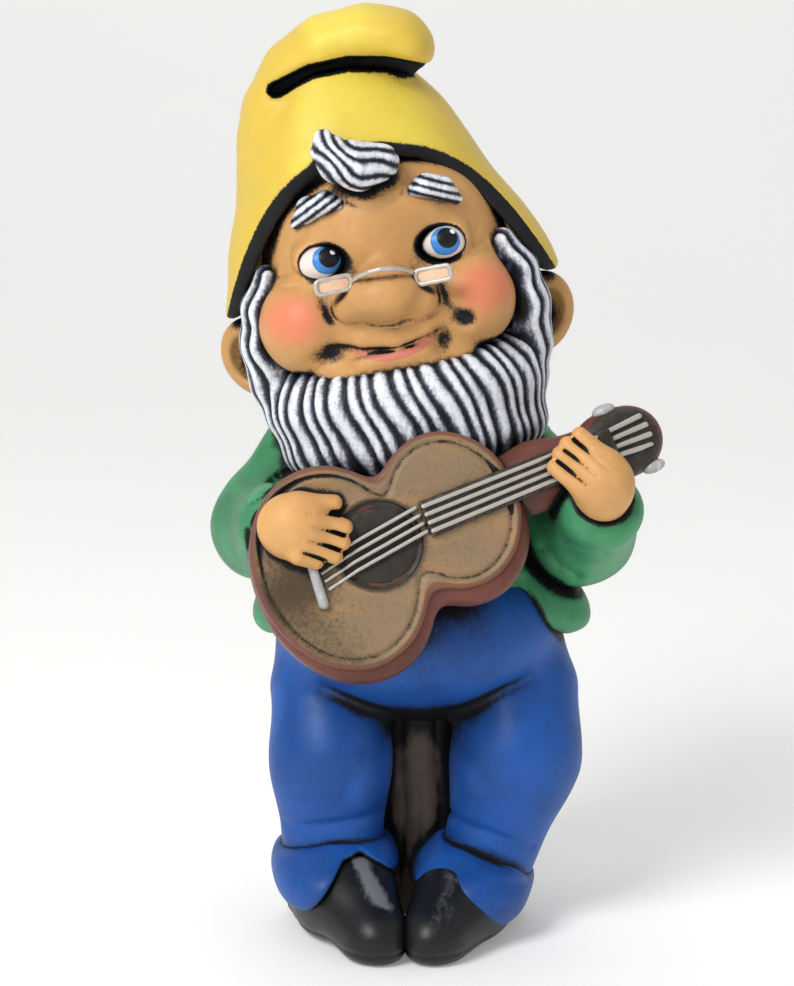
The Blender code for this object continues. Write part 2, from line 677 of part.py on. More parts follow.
def build():
    floor = block_cutter("below_floor", (-90, -90, -60), (90, 90, FOOTPRINT_Z), ROOT)

    right_shoe, right_shoe_seat = make_shoe("right_shoe", -1, 1.5)
    left_shoe, left_shoe_seat = make_shoe("left_shoe", 1, 0)
    trousers, trousers_seat = make_trousers()
    stump, stump_seat = make_stump()
    right_cuff, right_cuff_seat = make_cuff("right_cuff", (-18, -7, 18), (17.5, 19.5, 10.5))
    left_cuff, _ = make_cuff("left_cuff", (17.5, -7, 16), (16.5, 19.5, 10))
    subtract(right_shoe, [floor])
    subtract(left_shoe, [right_shoe_seat, floor])
    subtract(trousers, [right_shoe_seat, left_shoe_seat])
    subtract(stump, [trousers_seat, right_shoe_seat, left_shoe_seat])
    lower = [right_shoe_seat, left_shoe_seat, trousers_seat, stump_seat, floor]
    subtract(right_cuff, lower)
    subtract(left_cuff, [right_cuff_seat, *lower])

    guitar_body, guitar_seat = make_guitar_body()
    soundboard, soundboard_seat = make_soundboard()
    make_sound_hole_disc()
    make_bridge()
    neck, neck_seat = make_neck()
    fretboard, fretboard_seat = make_fretboard()
    headstock, headstock_seat = make_headstock()
    make_strings()
    upper_peg, _ = make_peg("upper_tuning_peg", (61, -4, 9.2), (0, 8, 0))
    lower_peg, _ = make_peg("lower_tuning_peg", (69.5, -4, -8.6), (0, 0, 0))

    head, head_seat = make_head()
    jacket, jacket_seat = make_jacket()
    subtract(jacket, [trousers_seat, head_seat])
    subtract(guitar_body, [trousers_seat, jacket_seat])
    subtract(neck, [guitar_seat, soundboard_seat, fretboard_seat, jacket_seat])
    subtract(headstock, [neck_seat, fretboard_seat])
    for peg in (upper_peg, lower_peg):
        subtract(peg, [headstock_seat, neck_seat])
    guitar_seats = [guitar_seat, soundboard_seat, fretboard_seat, neck_seat]

    right_palm = ((-28.5, -50, 115.5), (9.5, 6.5, 8.8))
    right_fingers = [
        ((-26, -53, 119.5), (-17.5, -54.5, 120)),
        ((-23, -54, 116), (-14.5, -56, 114)),
        ((-24, -54, 113), (-15.5, -56.2, 110.3)),
        ((-26, -54, 110.3), (-18, -56.2, 107.6)),
        ((-28, -53, 108.5), (-22, -55.5, 106.2)),
    ]
    right_hand, right_hand_seat = make_hand("right_hand", right_palm, right_fingers)
    left_palm = ((50.5, -45, 124.5), (8.4, 6, 9))
    left_fingers = [
        ((52, -48.5, 130.5), (45.6, -51.5, 136.2)),
        ((49.8, -49.5, 129), (42.2, -52.5, 133.8)),
        ((47.8, -49.5, 126.6), (40.6, -52.5, 130.8)),
        ((46.3, -48.5, 123.5), (39.6, -52, 127.2)),
    ]
    left_hand, left_hand_seat = make_hand("left_hand", left_palm, left_fingers)
    subtract(right_hand, [*guitar_seats, make_strings_clearance()])
    subtract(left_hand, [*guitar_seats, headstock_seat])

    right_sleeve, right_sleeve_seat = make_sleeve(
        "right_sleeve", [(-25, 3, 124), (-35, -8, 106), (-31, -34, 112)], [14, 13, 11]
    )
    left_sleeve, left_sleeve_seat = make_sleeve(
        "left_sleeve", [(28, 4, 122), (45.5, -9, 106), (49, -34, 116)], [14, 13, 10.5]
    )
    subtract(right_sleeve, [jacket_seat, trousers_seat, right_hand_seat, *guitar_seats])
    subtract(left_sleeve, [jacket_seat, trousers_seat, left_hand_seat, headstock_seat, *guitar_seats])

    beard, beard_seat = make_beard()
    subtract(beard, [head_seat, jacket_seat, right_sleeve_seat, left_sleeve_seat, *guitar_seats])
    subtract(beard, [left_hand_seat, right_hand_seat])

    hat, hat_seat = make_hat()
    subtract(hat, [head_seat, beard_seat])
    ear_seats = []
    for name, side in (("right_ear", -1), ("left_ear", 1)):
        ear, ear_seat = make_ear(name, side)
        subtract(ear, [head_seat, hat_seat])
        subtract(beard, [ear_seat])
        ear_seats.append(ear_seat)
    back_hair, _ = make_back_hair()
    subtract(back_hair, [head_seat, hat_seat, beard_seat, jacket_seat, *ear_seats])

    nose, _ = make_nose()
    subtract(nose, [head_seat])
    for name, side in (("right", -1), ("left", 1)):
        eye, _ = make_eye(name + "_eye", side)
        subtract(eye, [head_seat])
        eyebrow, _ = make_eyebrow(name + "_eyebrow", side)
        subtract(eyebrow, [head_seat])
    forelock, _ = make_forelock()
    subtract(forelock, [head_seat, hat_seat])
    subtract(nose, make_spectacles())
    stand_on_origin()


clear_scene()
PARTS = new_collection("garden_gnome")
CUTTERS = new_collection("cutters")
MATERIALS = make_materials()
ROOT = frame_empty("gnome_frame", (0, 0, 0), (0, 0, 0), None)
HEAD = frame_empty("head_frame", HEAD_PLACE, (0, HEAD_LEAN, 0), ROOT)
GUITAR = frame_empty("guitar_frame", GUITAR_PLACE, (GUITAR_TILT, GUITAR_SLOPE, GUITAR_YAW), ROOT)
NECK = frame_empty("neck_frame", GUITAR_PLACE, (GUITAR_TILT, NECK_SLOPE, GUITAR_YAW), ROOT)
build()
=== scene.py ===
"""A hand-painted ceramic garden gnome that plays a guitar. Each form is modelled as soft clay in
millimetres, skinned to a mesh and painted. A dark wash is then rubbed into the hollows, with painted
shade in the hollows and between the pieces."""

import math

import bpy
import numpy as np
import openvdb
from bpy.props import FloatProperty, PointerProperty
from mathutils import Euler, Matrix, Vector


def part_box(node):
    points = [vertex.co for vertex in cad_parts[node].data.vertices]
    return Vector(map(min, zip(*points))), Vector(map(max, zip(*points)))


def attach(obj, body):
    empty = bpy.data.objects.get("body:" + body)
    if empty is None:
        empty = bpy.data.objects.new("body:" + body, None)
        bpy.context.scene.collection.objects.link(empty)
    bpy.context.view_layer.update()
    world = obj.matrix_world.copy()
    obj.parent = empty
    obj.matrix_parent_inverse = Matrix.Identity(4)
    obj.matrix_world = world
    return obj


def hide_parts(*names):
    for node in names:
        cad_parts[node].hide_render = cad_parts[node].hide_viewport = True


bl_info = {
    "name": "Ceramic garden gnome",
    "version": (1, 0, 0),
    "blender": (4, 5, 0),
    "location": "3D View > Sidebar > Gnome",
    "description": "Models and paints a ceramic garden gnome piece by piece",
    "category": "Object",
}

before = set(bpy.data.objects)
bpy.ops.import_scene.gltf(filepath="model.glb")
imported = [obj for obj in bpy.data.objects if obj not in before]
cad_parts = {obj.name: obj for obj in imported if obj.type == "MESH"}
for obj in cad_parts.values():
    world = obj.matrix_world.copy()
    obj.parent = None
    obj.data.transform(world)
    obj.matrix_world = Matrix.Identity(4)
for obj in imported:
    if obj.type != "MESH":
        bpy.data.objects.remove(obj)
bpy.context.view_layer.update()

MM = 0.001
HEAD_PLACE = (-4, 0, 170)
GUITAR_PLACE = (-5.7, -40, 110)
HOLE_FLOOR_DEPTH = 7.4  # from the guitar's mid-depth to the middle of the sound hole's floor
HEAD_TURN = (0, -9, 0)
GUITAR_TURN = (-15, -25, 6)
NECK_TURN = (-15, -21, 6)
ROOM_STEP = 1.25
ROOM_LOW = np.array((-64.0, -70.0, -6.0))
ROOM_HIGH = np.array((74.0, 52.0, 248.0))
FAR = 9.0
SMALL = 1e-6


# ------------------------------------------------------------ frames
class Frame:
    """A turned frame in the figure's own space, in millimetres."""

    def __init__(self, place=(0, 0, 0), turn=(0, 0, 0)):
        angles = [math.radians(a) for a in turn]
        self.turn = np.array(Euler(angles, "YXZ").to_matrix())
        self.place = np.array(place, float)

    def outward(self, points):
        return points @ self.turn.T + self.place

    def inward(self, points):
        return (points - self.place) @ self.turn


FIGURE = Frame()
HEAD = Frame(HEAD_PLACE, HEAD_TURN)
GUITAR = Frame(GUITAR_PLACE, GUITAR_TURN)
NECK = Frame(GUITAR_PLACE, NECK_TURN)


def figure_shift():
    """From the figure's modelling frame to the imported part's frame, read off the sound hole's floor."""
    low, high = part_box("sound_hole_disc")
    seen = np.array((low + high) / 2) / MM
    return seen - GUITAR.outward(np.array((0.0, -HOLE_FLOOR_DEPTH, 0.0)))


SHIFT = figure_shift()


# ------------------------------------------------------------ soft-clay shapes (signed distances, mm)
def ball(p, centre, radii, turn=None):
    x, y, z = (axis - c for axis, c in zip(p, centre))
    if turn is not None:
        m = np.array(Euler([math.radians(a) for a in turn]).to_matrix())
        x, y, z = (m[0, k] * x + m[1, k] * y + m[2, k] * z for k in range(3))
    rx, ry, rz = radii
    near = np.sqrt((x / rx) ** 2 + (y / ry) ** 2 + (z / rz) ** 2)
    slope = np.sqrt((x / rx**2) ** 2 + (y / ry**2) ** 2 + (z / rz**2) ** 2)
    return near * (near - 1) / (slope + SMALL)


def rod(p, start, end, r_start, r_end, flat=(1, 1, 1)):
    a = np.array(start, float)
    along = (np.array(end, float) - a) * flat
    span = along @ along
    q = [(axis - c) * f for axis, c, f in zip(p, a, flat)]
    share = np.clip(sum(axis * c for axis, c in zip(q, along)) / span, 0, 1)
    off = sum((axis - share * c) ** 2 for axis, c in zip(q, along))
    return np.sqrt(off) - (r_start + (r_end - r_start) * share)


def chain(p, points, radii, flat=(1, 1, 1), soft=0.0):
    f = None
    for k in range(len(points) - 1):
        g = rod(p, points[k], points[k + 1], radii[k], radii[k + 1], flat)
        f = g if f is None else join(f, g, soft)
    return f


def join(a, b, soft=0.0):
    if soft <= 0:
        return np.minimum(a, b)
    h = np.maximum(soft - np.abs(a - b), 0) / soft
    return np.minimum(a, b) - h * h * soft / 4


def carve(a, b, soft=0.0):
    return -join(-a, b, soft)


def keep(a, b, soft=0.0):
    return -join(-a, -b, soft)


def bowl(t, width):
    """1 on the line, falling smoothly to 0 away from it."""
    return np.exp(-((t / width) ** 2))


def from_line(across, up, points):
    """Distance in the plane from a broken line."""
    best = None
    for (ax, az), (bx, bz) in zip(points[:-1], points[1:]):
        lx, lz = bx - ax, bz - az
        share = np.clip(((across - ax) * lx + (up - az) * lz) / (lx * lx + lz * lz), 0, 1)
        d = np.hypot(across - ax - share * lx, up - az - share * lz)
        best = d if best is None else np.minimum(best, d)
    return best


def ripple(x, y, z, size, seed=0.0):
    """A gentle unevenness of the clay, about -1 to 1."""
    k = 2 * math.pi / size
    a = np.sin(k * x + 1.3 * np.sin(0.7 * k * y + seed) + seed)
    b = np.sin(0.83 * k * z + 1.7 * np.sin(0.6 * k * x + 2 * seed))
    c = np.sin(0.91 * k * y + 1.1 * np.sin(0.8 * k * z + 3 * seed))
    return (a + b + c) / 3


def evened(f, step):
    """Divides a field by its own slope, so that it measures millimetres near its surface."""
    slopes = np.gradient(f, step)
    return f / np.clip(np.sqrt(sum(s * s for s in slopes)), 0.4, 1.8)


def oval(u, v, centre, radii):
    """Distance in a plane from an oval."""
    a, b = (u - centre[0]) / radii[0], (v - centre[1]) / radii[1]
    near = np.hypot(a, b)
    return near * (near - 1) / (np.hypot(a / radii[0], b / radii[1]) + SMALL)


# ------------------------------------------------------------ from clay to painted mesh
class Form:
    def __init__(self, name, place, low, high, step, shape):
        self.name, self.place, self.step = name, place, step
        self.low = np.array(low, float)
        count = np.ceil((np.array(high) - self.low) / step).astype(int) + 1
        axes = [(self.low[k] + step * np.arange(count[k])).astype(np.float32) for k in range(3)]
        grid = (axes[0][:, None, None], axes[1][None, :, None], axes[2][None, None, :])
        field = np.array(np.broadcast_to(shape(grid), count), dtype=np.float32)
        self.field = np.ascontiguousarray(evened(field, step), dtype=np.float32)

    def skin(self):
        band = 3 * self.step
        grid = openvdb.FloatGrid(band)
        grid.copyFromArray(np.clip(self.field, -band, band))
        points, quads = grid.convertToQuads(isovalue=0.0)
        self.points = points * self.step + self.low
        world = (self.place.outward(self.points) + SHIFT) * MM
        mesh = bpy.data.meshes.new(self.name)
        mesh.from_pydata(world.tolist(), [], quads.tolist())
        mesh.update()
        mesh.shade_smooth()
        self.obj = bpy.data.objects.new(self.name, mesh)
        bpy.context.scene.collection.objects.link(self.obj)
        return self.obj

    def normals(self):
        flat = np.zeros(len(self.points) * 3, np.float32)
        self.obj.data.vertex_normals.foreach_get("vector", flat)
        return flat.reshape(-1, 3).astype(float)

    def paint(self, name, values):
        layer = self.obj.data.attributes.new(name, "FLOAT", "POINT")
        values = np.broadcast_to(values, len(self.points))
        layer.data.foreach_set("value", np.ascontiguousarray(values, np.float32))

    def sample(self, local):
        return trilinear(self.field, (local - self.low) / self.step)


def trilinear(field, q):
    top = np.array(field.shape) - 2
    base = np.clip(np.floor(q).astype(int), 0, top)
    t = np.clip(q - base, 0, 1)
    total = 0
    for dx in (0, 1):
        for dy in (0, 1):
            for dz in (0, 1):
                weight = (
                    (t[:, 0] if dx else 1 - t[:, 0])
                    * (t[:, 1] if dy else 1 - t[:, 1])
                    * (t[:, 2] if dz else 1 - t[:, 2])
                )
                total = total + weight * field[base[:, 0] + dx, base[:, 1] + dy, base[:, 2] + dz]
    return total


FORMS = []


def model(name, place, low, high, step, shape, slot, material, nodes=None, **paints):
    """Models one form, paints its masks and puts it in the place of its CAD node."""
    form = Form(name, place, low, high, step * COARSE, shape)
    obj = form.skin()
    local = [form.points[:, k] for k in range(3)]
    for paint, mask in paints.items():
        form.paint(paint, mask(local))
    obj.data.materials.append(material)
    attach(obj, "root")
    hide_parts(*(nodes or [name]))
    FORMS.append(form)
    return form


COARSE = 1.0


def room_of_forms():
    """Distance to the nearest form on one grid round the whole figure."""
    count = np.ceil((ROOM_HIGH - ROOM_LOW) / ROOM_STEP).astype(int) + 1
    room = np.full(count, FAR, np.float32)
    for form in FORMS:
        high = form.low + form.step * (np.array(form.field.shape) - 1)
        corners = np.array([[(form.low, high)[i >> k & 1][k] for k in range(3)] for i in range(8)])
        corners = form.place.outward(corners)
        first = np.floor((corners.min(0) - ROOM_LOW) / ROOM_STEP).astype(int)
        last = np.ceil((corners.max(0) - ROOM_LOW) / ROOM_STEP).astype(int)
        first, last = np.clip(first, 0, count - 1), np.clip(last, 0, count - 1)
        axes = [np.arange(first[k], last[k] + 1) for k in range(3)]
        index = np.stack(np.meshgrid(*axes, indexing="ij"), -1).reshape(-1, 3)
        local = form.place.inward(index * ROOM_STEP + ROOM_LOW)
        q = (local - form.low) / form.step
        inside = np.all((q >= 0) & (q <= np.array(form.field.shape) - 1), axis=1)
        index, q = index[inside], q[inside]
        value = np.minimum(trilinear(form.field, q), FAR)
        spot = (index[:, 0], index[:, 1], index[:, 2])
        room[spot] = np.minimum(room[spot], value)
    return room


def rub_wash_and_shade(strength):
    """Finds how enclosed each point is: close by on its own form, further out on the whole figure.
    This darkens the paint as a dark wash in grooves and seams and, further out, as painted shade.
    """
    room = room_of_forms()
    for form in FORMS:
        normal = form.normals()
        local_normal = normal @ form.place.turn
        figure = form.place.outward(form.points)

        def shut(distance):
            q = (figure + normal * distance - ROOM_LOW) / ROOM_STEP
            return np.clip(1 - trilinear(room, q) / distance, 0, 1)

        def nearby(distance):
            return 1 - form.sample(form.points + local_normal * distance) / distance

        groove = np.clip(nearby(0.9), 0, 1)
        crest = np.clip(1 + form.sample(form.points - local_normal * 1.2) / 1.2, 0, 1)
        # painted shade: the reach over the whole figure darkens hollows and the places between pieces
        wide_wash_and_shade = 0.55 * shut(2.2) + 0.65 * shut(4.5) + 0.25 * shut(7.5)
        form.paint("wash", np.clip(strength * (wide_wash_and_shade + 0.8 * groove), 0, 2))
        form.paint("crest", crest)


# ------------------------------------------------------------ materials
class Paint:
    """A small helper round a material's nodes."""

    def __init__(self, name):
        self.material = bpy.data.materials.new(name)
        self.material.use_nodes = True
        self.tree = self.material.node_tree
        self.shader = self.tree.nodes["Principled BSDF"]
        self.coordinates = self.tree.nodes.new("ShaderNodeTexCoord").outputs["Object"]

    def link(self, value, socket):
        if isinstance(value, bpy.types.NodeSocket):
            self.tree.links.new(value, socket)
        else:
            socket.default_value = value

    def math(self, operation, a, b=0.0, c=0.0):
        node = self.tree.nodes.new("ShaderNodeMath")
        node.operation = operation
        for k, value in enumerate((a, b, c)):
            self.link(value, node.inputs[k])
        return node.outputs[0]

    def around(self, value, spread):
        """Turns a 0 to 1 value into one that swings evenly round 0."""
        return self.math("MULTIPLY_ADD", value, spread, -spread / 2)

    def bare(self, cover):
        return self.math("SUBTRACT", 1.0, cover)

    def noise(self, scale, detail=3.0, rough=0.55, stretch=None, warp=0.0):
        where = self.coordinates
        if stretch is not None:
            node = self.tree.nodes.new("ShaderNodeMapping")
            self.link(where, node.inputs["Vector"])
            node.inputs["Scale"].default_value = stretch
            where = node.outputs["Vector"]
        node = self.tree.nodes.new("ShaderNodeTexNoise")
        self.link(where, node.inputs["Vector"])
        node.inputs["Scale"].default_value = scale
        node.inputs["Detail"].default_value = detail
        node.inputs["Roughness"].default_value = rough
        node.inputs["Distortion"].default_value = warp
        return node.outputs["Fac"]

    def mask(self, name):
        node = self.tree.nodes.new("ShaderNodeAttribute")
        node.attribute_name = name
        return node.outputs["Fac"]

    def step(self, value, low, high, start=0.0, end=1.0):
        node = self.tree.nodes.new("ShaderNodeMapRange")
        node.interpolation_type = "SMOOTHSTEP"
        for k, v in enumerate((value, low, high, start, end)):
            self.link(v, node.inputs[k])
        return node.outputs["Result"]

    def mix(self, share, a, b):
        node = self.tree.nodes.new("ShaderNodeMix")
        node.data_type = "RGBA"
        self.link(share, node.inputs[0])
        for value, socket in ((a, node.inputs[6]), (b, node.inputs[7])):
            self.link((*value, 1) if isinstance(value, tuple) else value, socket)
        return node.outputs[2]

    def distance(self, point):
        """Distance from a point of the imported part's frame, in millimetres."""
        node = self.tree.nodes.new("ShaderNodeVectorMath")
        node.operation = "DISTANCE"
        self.link(self.coordinates, node.inputs[0])
        node.inputs[1].default_value = [c * MM for c in point]
        return self.math("MULTIPLY", node.outputs["Value"], 1 / MM)

    def bump(self, height, strength, distance):
        node = self.tree.nodes.new("ShaderNodeBump")
        node.inputs["Strength"].default_value = strength
        node.inputs["Distance"].default_value = distance
        self.link(height, node.inputs["Height"])
        self.tree.links.new(node.outputs["Normal"], self.shader.inputs["Normal"])

    def finish(self, colour, rough, metallic=0.0, coat=0.0):
        self.link(colour, self.shader.inputs["Base Color"])
        self.link(rough, self.shader.inputs["Roughness"])
        self.link(metallic, self.shader.inputs["Metallic"])
        self.shader.inputs["Coat Weight"].default_value = coat
        self.shader.inputs["Coat Roughness"].default_value = 0.4
        self.shader.inputs["Specular IOR Level"].default_value = 0.3
        return self.material


BLACK = (0.006, 0.006, 0.008)


def washed_and_shaded(paint, colour, low, high, dark=BLACK, grain=0.4):
    """Covers the colour with the dark wash and painted shade, whose edge breaks up into speckles and strokes.
    """
    speckle = paint.noise(1500, 2, 0.6)
    strokes = paint.noise(420, 4, 0.7, stretch=(1, 1, 0.35))
    broken = paint.math("ADD", paint.around(speckle, grain), paint.around(strokes, 0.5))
    # dark wash with painted shade in the hollows
    depth = paint.math("ADD", paint.mask("wash"), broken)
    # dark paint lines and smudges, and painted shade, from each piece's own mask
    depth = paint.math("ADD", depth, paint.mask("soot"))
    cover = paint.step(depth, low, high)
    return paint.mix(cover, colour, dark), cover


def ceramic(name, base, shade, light, low=0.5, high=0.95, rough=0.46, coat=0.04, dry=0.5, grain=0.4):
    """Brushed paint on fired clay: two tones, a dry-brushed crest, dark wash with painted shade and faint
    brush marks.
    """
    paint = Paint(name)
    mottle = paint.step(paint.noise(55, 4, 0.6, warp=0.4), 0.35, 0.68)
    fine = paint.noise(620, 3, 0.65)
    colour = paint.mix(mottle, base, shade)
    crest = paint.math("ADD", paint.mask("crest"), paint.around(fine, 0.6))
    colour = paint.mix(paint.step(crest, 0.12, 0.55, 0, dry), colour, light)
    film = paint.step(paint.noise(260, 5, 0.75), 0.52, 0.8, 0, 0.22)
    colour = paint.mix(film, colour, tuple(0.35 * c for c in base))
    colour, cover = washed_and_shaded(paint, colour, low, high, grain=grain)
    sheen = paint.math("MULTIPLY_ADD", fine, 0.16, rough - 0.08)
    paint.bump(paint.noise(900, 4, 0.6), 0.16, 0.00025)
    paint.gloss = (paint.math("MULTIPLY_ADD", cover, 0.15, sheen), 0.0, coat)
    return paint, colour, cover


def plain_ceramic(*args, **kwargs):
    paint, colour, _ = ceramic(*args, **kwargs)
    return paint.finish(colour, *paint.gloss)


# ------------------------------------------------------------ helpers of shape shared by several pieces
def sweep(t, heights, values):
    """A smooth curve through (height, value) pairs: a cubic with the neighbours' slopes."""
    h, v = np.array(heights, float), np.array(values, float)
    slope = np.gradient(v, h)
    k = np.clip(np.searchsorted(h, t) - 1, 0, len(h) - 2)
    width = h[k + 1] - h[k]
    s = np.clip((t - h[k]) / width, 0, 1)
    low = (1 + 2 * s) * (1 - s) ** 2 * v[k] + s * (1 - s) ** 2 * width * slope[k]
    return low + s * s * (3 - 2 * s) * v[k + 1] + s * s * (s - 1) * width * slope[k + 1]


def strands(phase, sharp=0.55):
    """Rounded ridges with a narrow groove at each whole number: 0 in the groove, 1 on the ridge."""
    return np.abs(np.sin(math.pi * phase)) ** sharp


def pressed(f, p, folds):
    """Presses soft grooves into the clay, each given as a line seen from the front, a width and a depth."""
    for line, width, depth in folds:
        f = f + depth * bowl(from_line(p[0], p[2], line), width)
    return f


def both_sides(p):
    return (np.abs(p[0]), p[1], p[2])


# ------------------------------------------------------------ hat
BRIM_TOP, BRIM_DROP, BRIM_HALF, BRIM_POWER = 37.5, 39.0, 43.0, 2.6
HAT_THICKNESS = 4.0
SLOT_LINE = [(-20.5, 54.0), (-11, 57.3), (-1.5, 57.9), (8, 56.4), (18.5, 52.6)]
SMEARS = [[(-17.5, 50), (-29.5, 40.5)], [(-32, 38), (-35, 28)], [(-12.5, 40.5), (-20, 37.8)]]


def brim_line(x, z):
    """Above 0 over the brim's outer edge, below 0 in the face's opening."""
    return z - BRIM_TOP + BRIM_DROP * (np.abs(x) / BRIM_HALF) ** BRIM_POWER


def hat_clay(p):
    x, y, z = p
    heights = (-8, 4, 14, 26, 36, 46, 54, 62, 67)
    middle = sweep(z, heights, (0, 0.4, -1, -2.7, -4.2, -5.9, -7, -7.5, -7.5))
    half = sweep(z, heights, (45.5, 42.4, 39.2, 33.7, 30.2, 26.2, 20.5, 12, 3))
    depth = sweep(z, heights, (42, 40.5, 38, 34.5, 31.5, 26.5, 20.5, 12, 3))
    f = (np.sqrt(((x - middle) / half) ** 2 + ((y - 2) / depth) ** 2) - 1) * half
    f = evened(np.maximum(f, z - 66.5), float(x[1, 0, 0] - x[0, 0, 0]))
    points = [(-21, -1, 49), (-15, -3, 57), (-6, -6, 62.6), (4, -8, 64), (12, -10, 61.4), (14.4, -11, 58.6)]
    fold = chain(p, points, (9, 7.6, 7, 6.5, 6.2, 6), (1, 0.6, 1), 6)
    f = join(f, fold, 2.5)
    slot = from_line(x, z, SLOT_LINE) - 1.5
    f = carve(f, np.maximum(slot, y + 7), 1.8)
    f = f + 1.0 * bowl(from_line(x, z, SMEARS[0]), 2.6) * (y < 0)
    f = f + 0.35 * ripple(x, y, z, 34, 1.0)
    shell = carve(f, np.maximum(f + HAT_THICKNESS, z - 40), 1)
    lean = 1.2 + 0.05 * np.maximum(np.abs(x) - 12, 0)
    opening = np.maximum((brim_line(x, z) + lean * np.clip(-f, 0, HAT_THICKNESS)) / 1.6, y + 1)
    shell = carve(shell, opening, 0.9)
    floor = np.maximum(-3.5 - z, -4.5 - z + 0.035 * np.abs(x))
    return keep(shell, floor, 2.5)


def hat_soot(p):
    x, y, z = p
    under = np.clip(0.5 - (brim_line(x, z) + 0.6) / 1.6, 0, 1) * (y < 4)
    slot = np.clip(1.5 - from_line(x, z, SLOT_LINE) / 1.8, 0, 1) * (y < -6)
    smear = sum(bowl(from_line(x, z, line), 2.6) for line in SMEARS) * (y < 5)
    return 1.4 * under + 1.3 * slot + 0.42 * smear


# ------------------------------------------------------------ face
EYE_PLACES = {"right": (-15.1, -25.3, 10.4), "left": (14.8, -25.3, 10.6)}
EYE_RADII = (6.2, 5.5, 4.7)
MOUTH_LINE = [(-17, -10.4), (-11, -11.6), (-6, -12.6), (-1.8, -13.1), (4, -12.4), (9.8, -10.6)]
LIP_LINE = [(-9.9, -12.5), (-6.5, -14.0), (-2.3, -15.0), (2.9, -14.4), (8.4, -12.4)]
SMILE_LINES = [
    [(-17, 3.2), (-16.3, 0.3), (-15.1, -3.4)],
    [(12.6, 0.6), (13.2, -3.7), (16.0, -6.8), (18.0, -8.4)],
]
LAUGH_LINES = [
    [(-27.0, 7.5), (-23.0, 8.6)],
    [(-26.5, 5.2), (-22.5, 5.2)],
    [(22.6, 9.2), (25.0, 13.2)],
    [(22.6, 8.2), (26.2, 8.8)],
    [(22.4, 6.2), (26.4, 6.4)],
]
FOREHEAD_LINE = [(-6.5, 24.4), (-3.5, 22.6), (0, 21.8), (3.5, 22.3), (7.3, 24.8)]
SMUDGES = [((-16.8, -12.2), (4.8, 2.3)), ((11.6, -12.9), (2.0, 3.2)), ((18.4, -8.6), (2.4, 2.2))]


def nose_clay(p):
    f = ball(p, (-1.2, -34.6, 0.8), (9.4, 8.5, 6.7))
    f = join(f, ball(p, (-9.6, -31.6, -1.2), (4.9, 5.5, 4.4)), 2.6)
    f = join(f, ball(p, (7.6, -31.6, -2.2), (4.6, 5.5, 4.2)), 2.6)
    return join(f, rod(p, (-0.6, -31, 4), (0.3, -25.6, 14), 4.6, 3.6), 4)


def face_clay(p):
    x, y, z = p
    f = ball(p, (0, -1, 5), (32.5, 31, 31))
    f = join(f, ball(p, (0, -13, -8), (24, 20, 16)), 8)
    f = join(f, ball(p, (0, -7, 20), (25, 25, 16.5)), 8)
    f = join(f, ball(p, (-21, -18, -5.4), (13.2, 14.4, 13.2)), 3.5)
    f = join(f, ball(p, (19.6, -18, -4.8), (12.0, 14.4, 12.8)), 3.5)
    f = join(f, rod(p, (3, 3, -16), (3, 3, -29), 17, 16), 6)
    f = join(f, ball(p, (0, -28.5, -7), (12, 6, 4)), 3)
    lip = [(-14.5, -28, -8.6), (-8, -31.6, -10.0), (0, -32.8, -10.7), (8, -31.6, -9.0), (13.5, -28.4, -6.5)]
    f = join(f, chain(p, lip, (1.6, 2.3, 2.6, 2.3, 1.7), (1, 1, 1), 1.5), 1.6)
    f = join(f, ball(p, (-1.2, -31.2, -15.2), (9.5, 3.2, 1.9), (0, -4, 0)), 1.2)
    f = join(f, ball(p, (-1, -24.5, -18), (20, 8, 5)), 4)
    front = y < -8
    f = f + front * 0.5 * bowl(from_line(x, z, MOUTH_LINE), 0.8)
    for (cx, cz), (rx, rz) in SMUDGES:
        f = f + front * 1.2 * np.exp(-(((x - cx) / rx) ** 2) - ((z - cz) / rz) ** 2)
    for line in SMILE_LINES:
        f = f + front * 0.6 * bowl(from_line(x, z, line), 1.5)
    for line in LAUGH_LINES:
        f = f + front * 0.25 * bowl(from_line(x, z, line), 0.5)
    f = f + front * 0.35 * bowl(from_line(x, z, FOREHEAD_LINE), 0.6)
    for cx, cy, cz in EYE_PLACES.values():
        f = carve(f, ball(p, (cx, cy - 4.2, cz), (6.4, 6.2, 4.9)), 1.2)
        lid = ball(p, (cx, cy + 1.4, cz + 1.2), (8.0, 5.6, 6.4))
        f = join(f, carve(lid, ball(p, (cx, cy - 3, cz), (5.9, 8, 4.8)), 0.6), 1.2)
    return f + 0.16 * ripple(x, y, z, 23, 2.0)


def head_clay(p):
    return join(face_clay(p), nose_clay(p), 1.3)


def nose_piece(p):
    proud = join(face_clay(p), nose_clay(p), 1.3) - 0.06
    return keep(proud, ball(p, (0, -36, -0.2), (15.2, 10.5, 8.0)), 0.6)


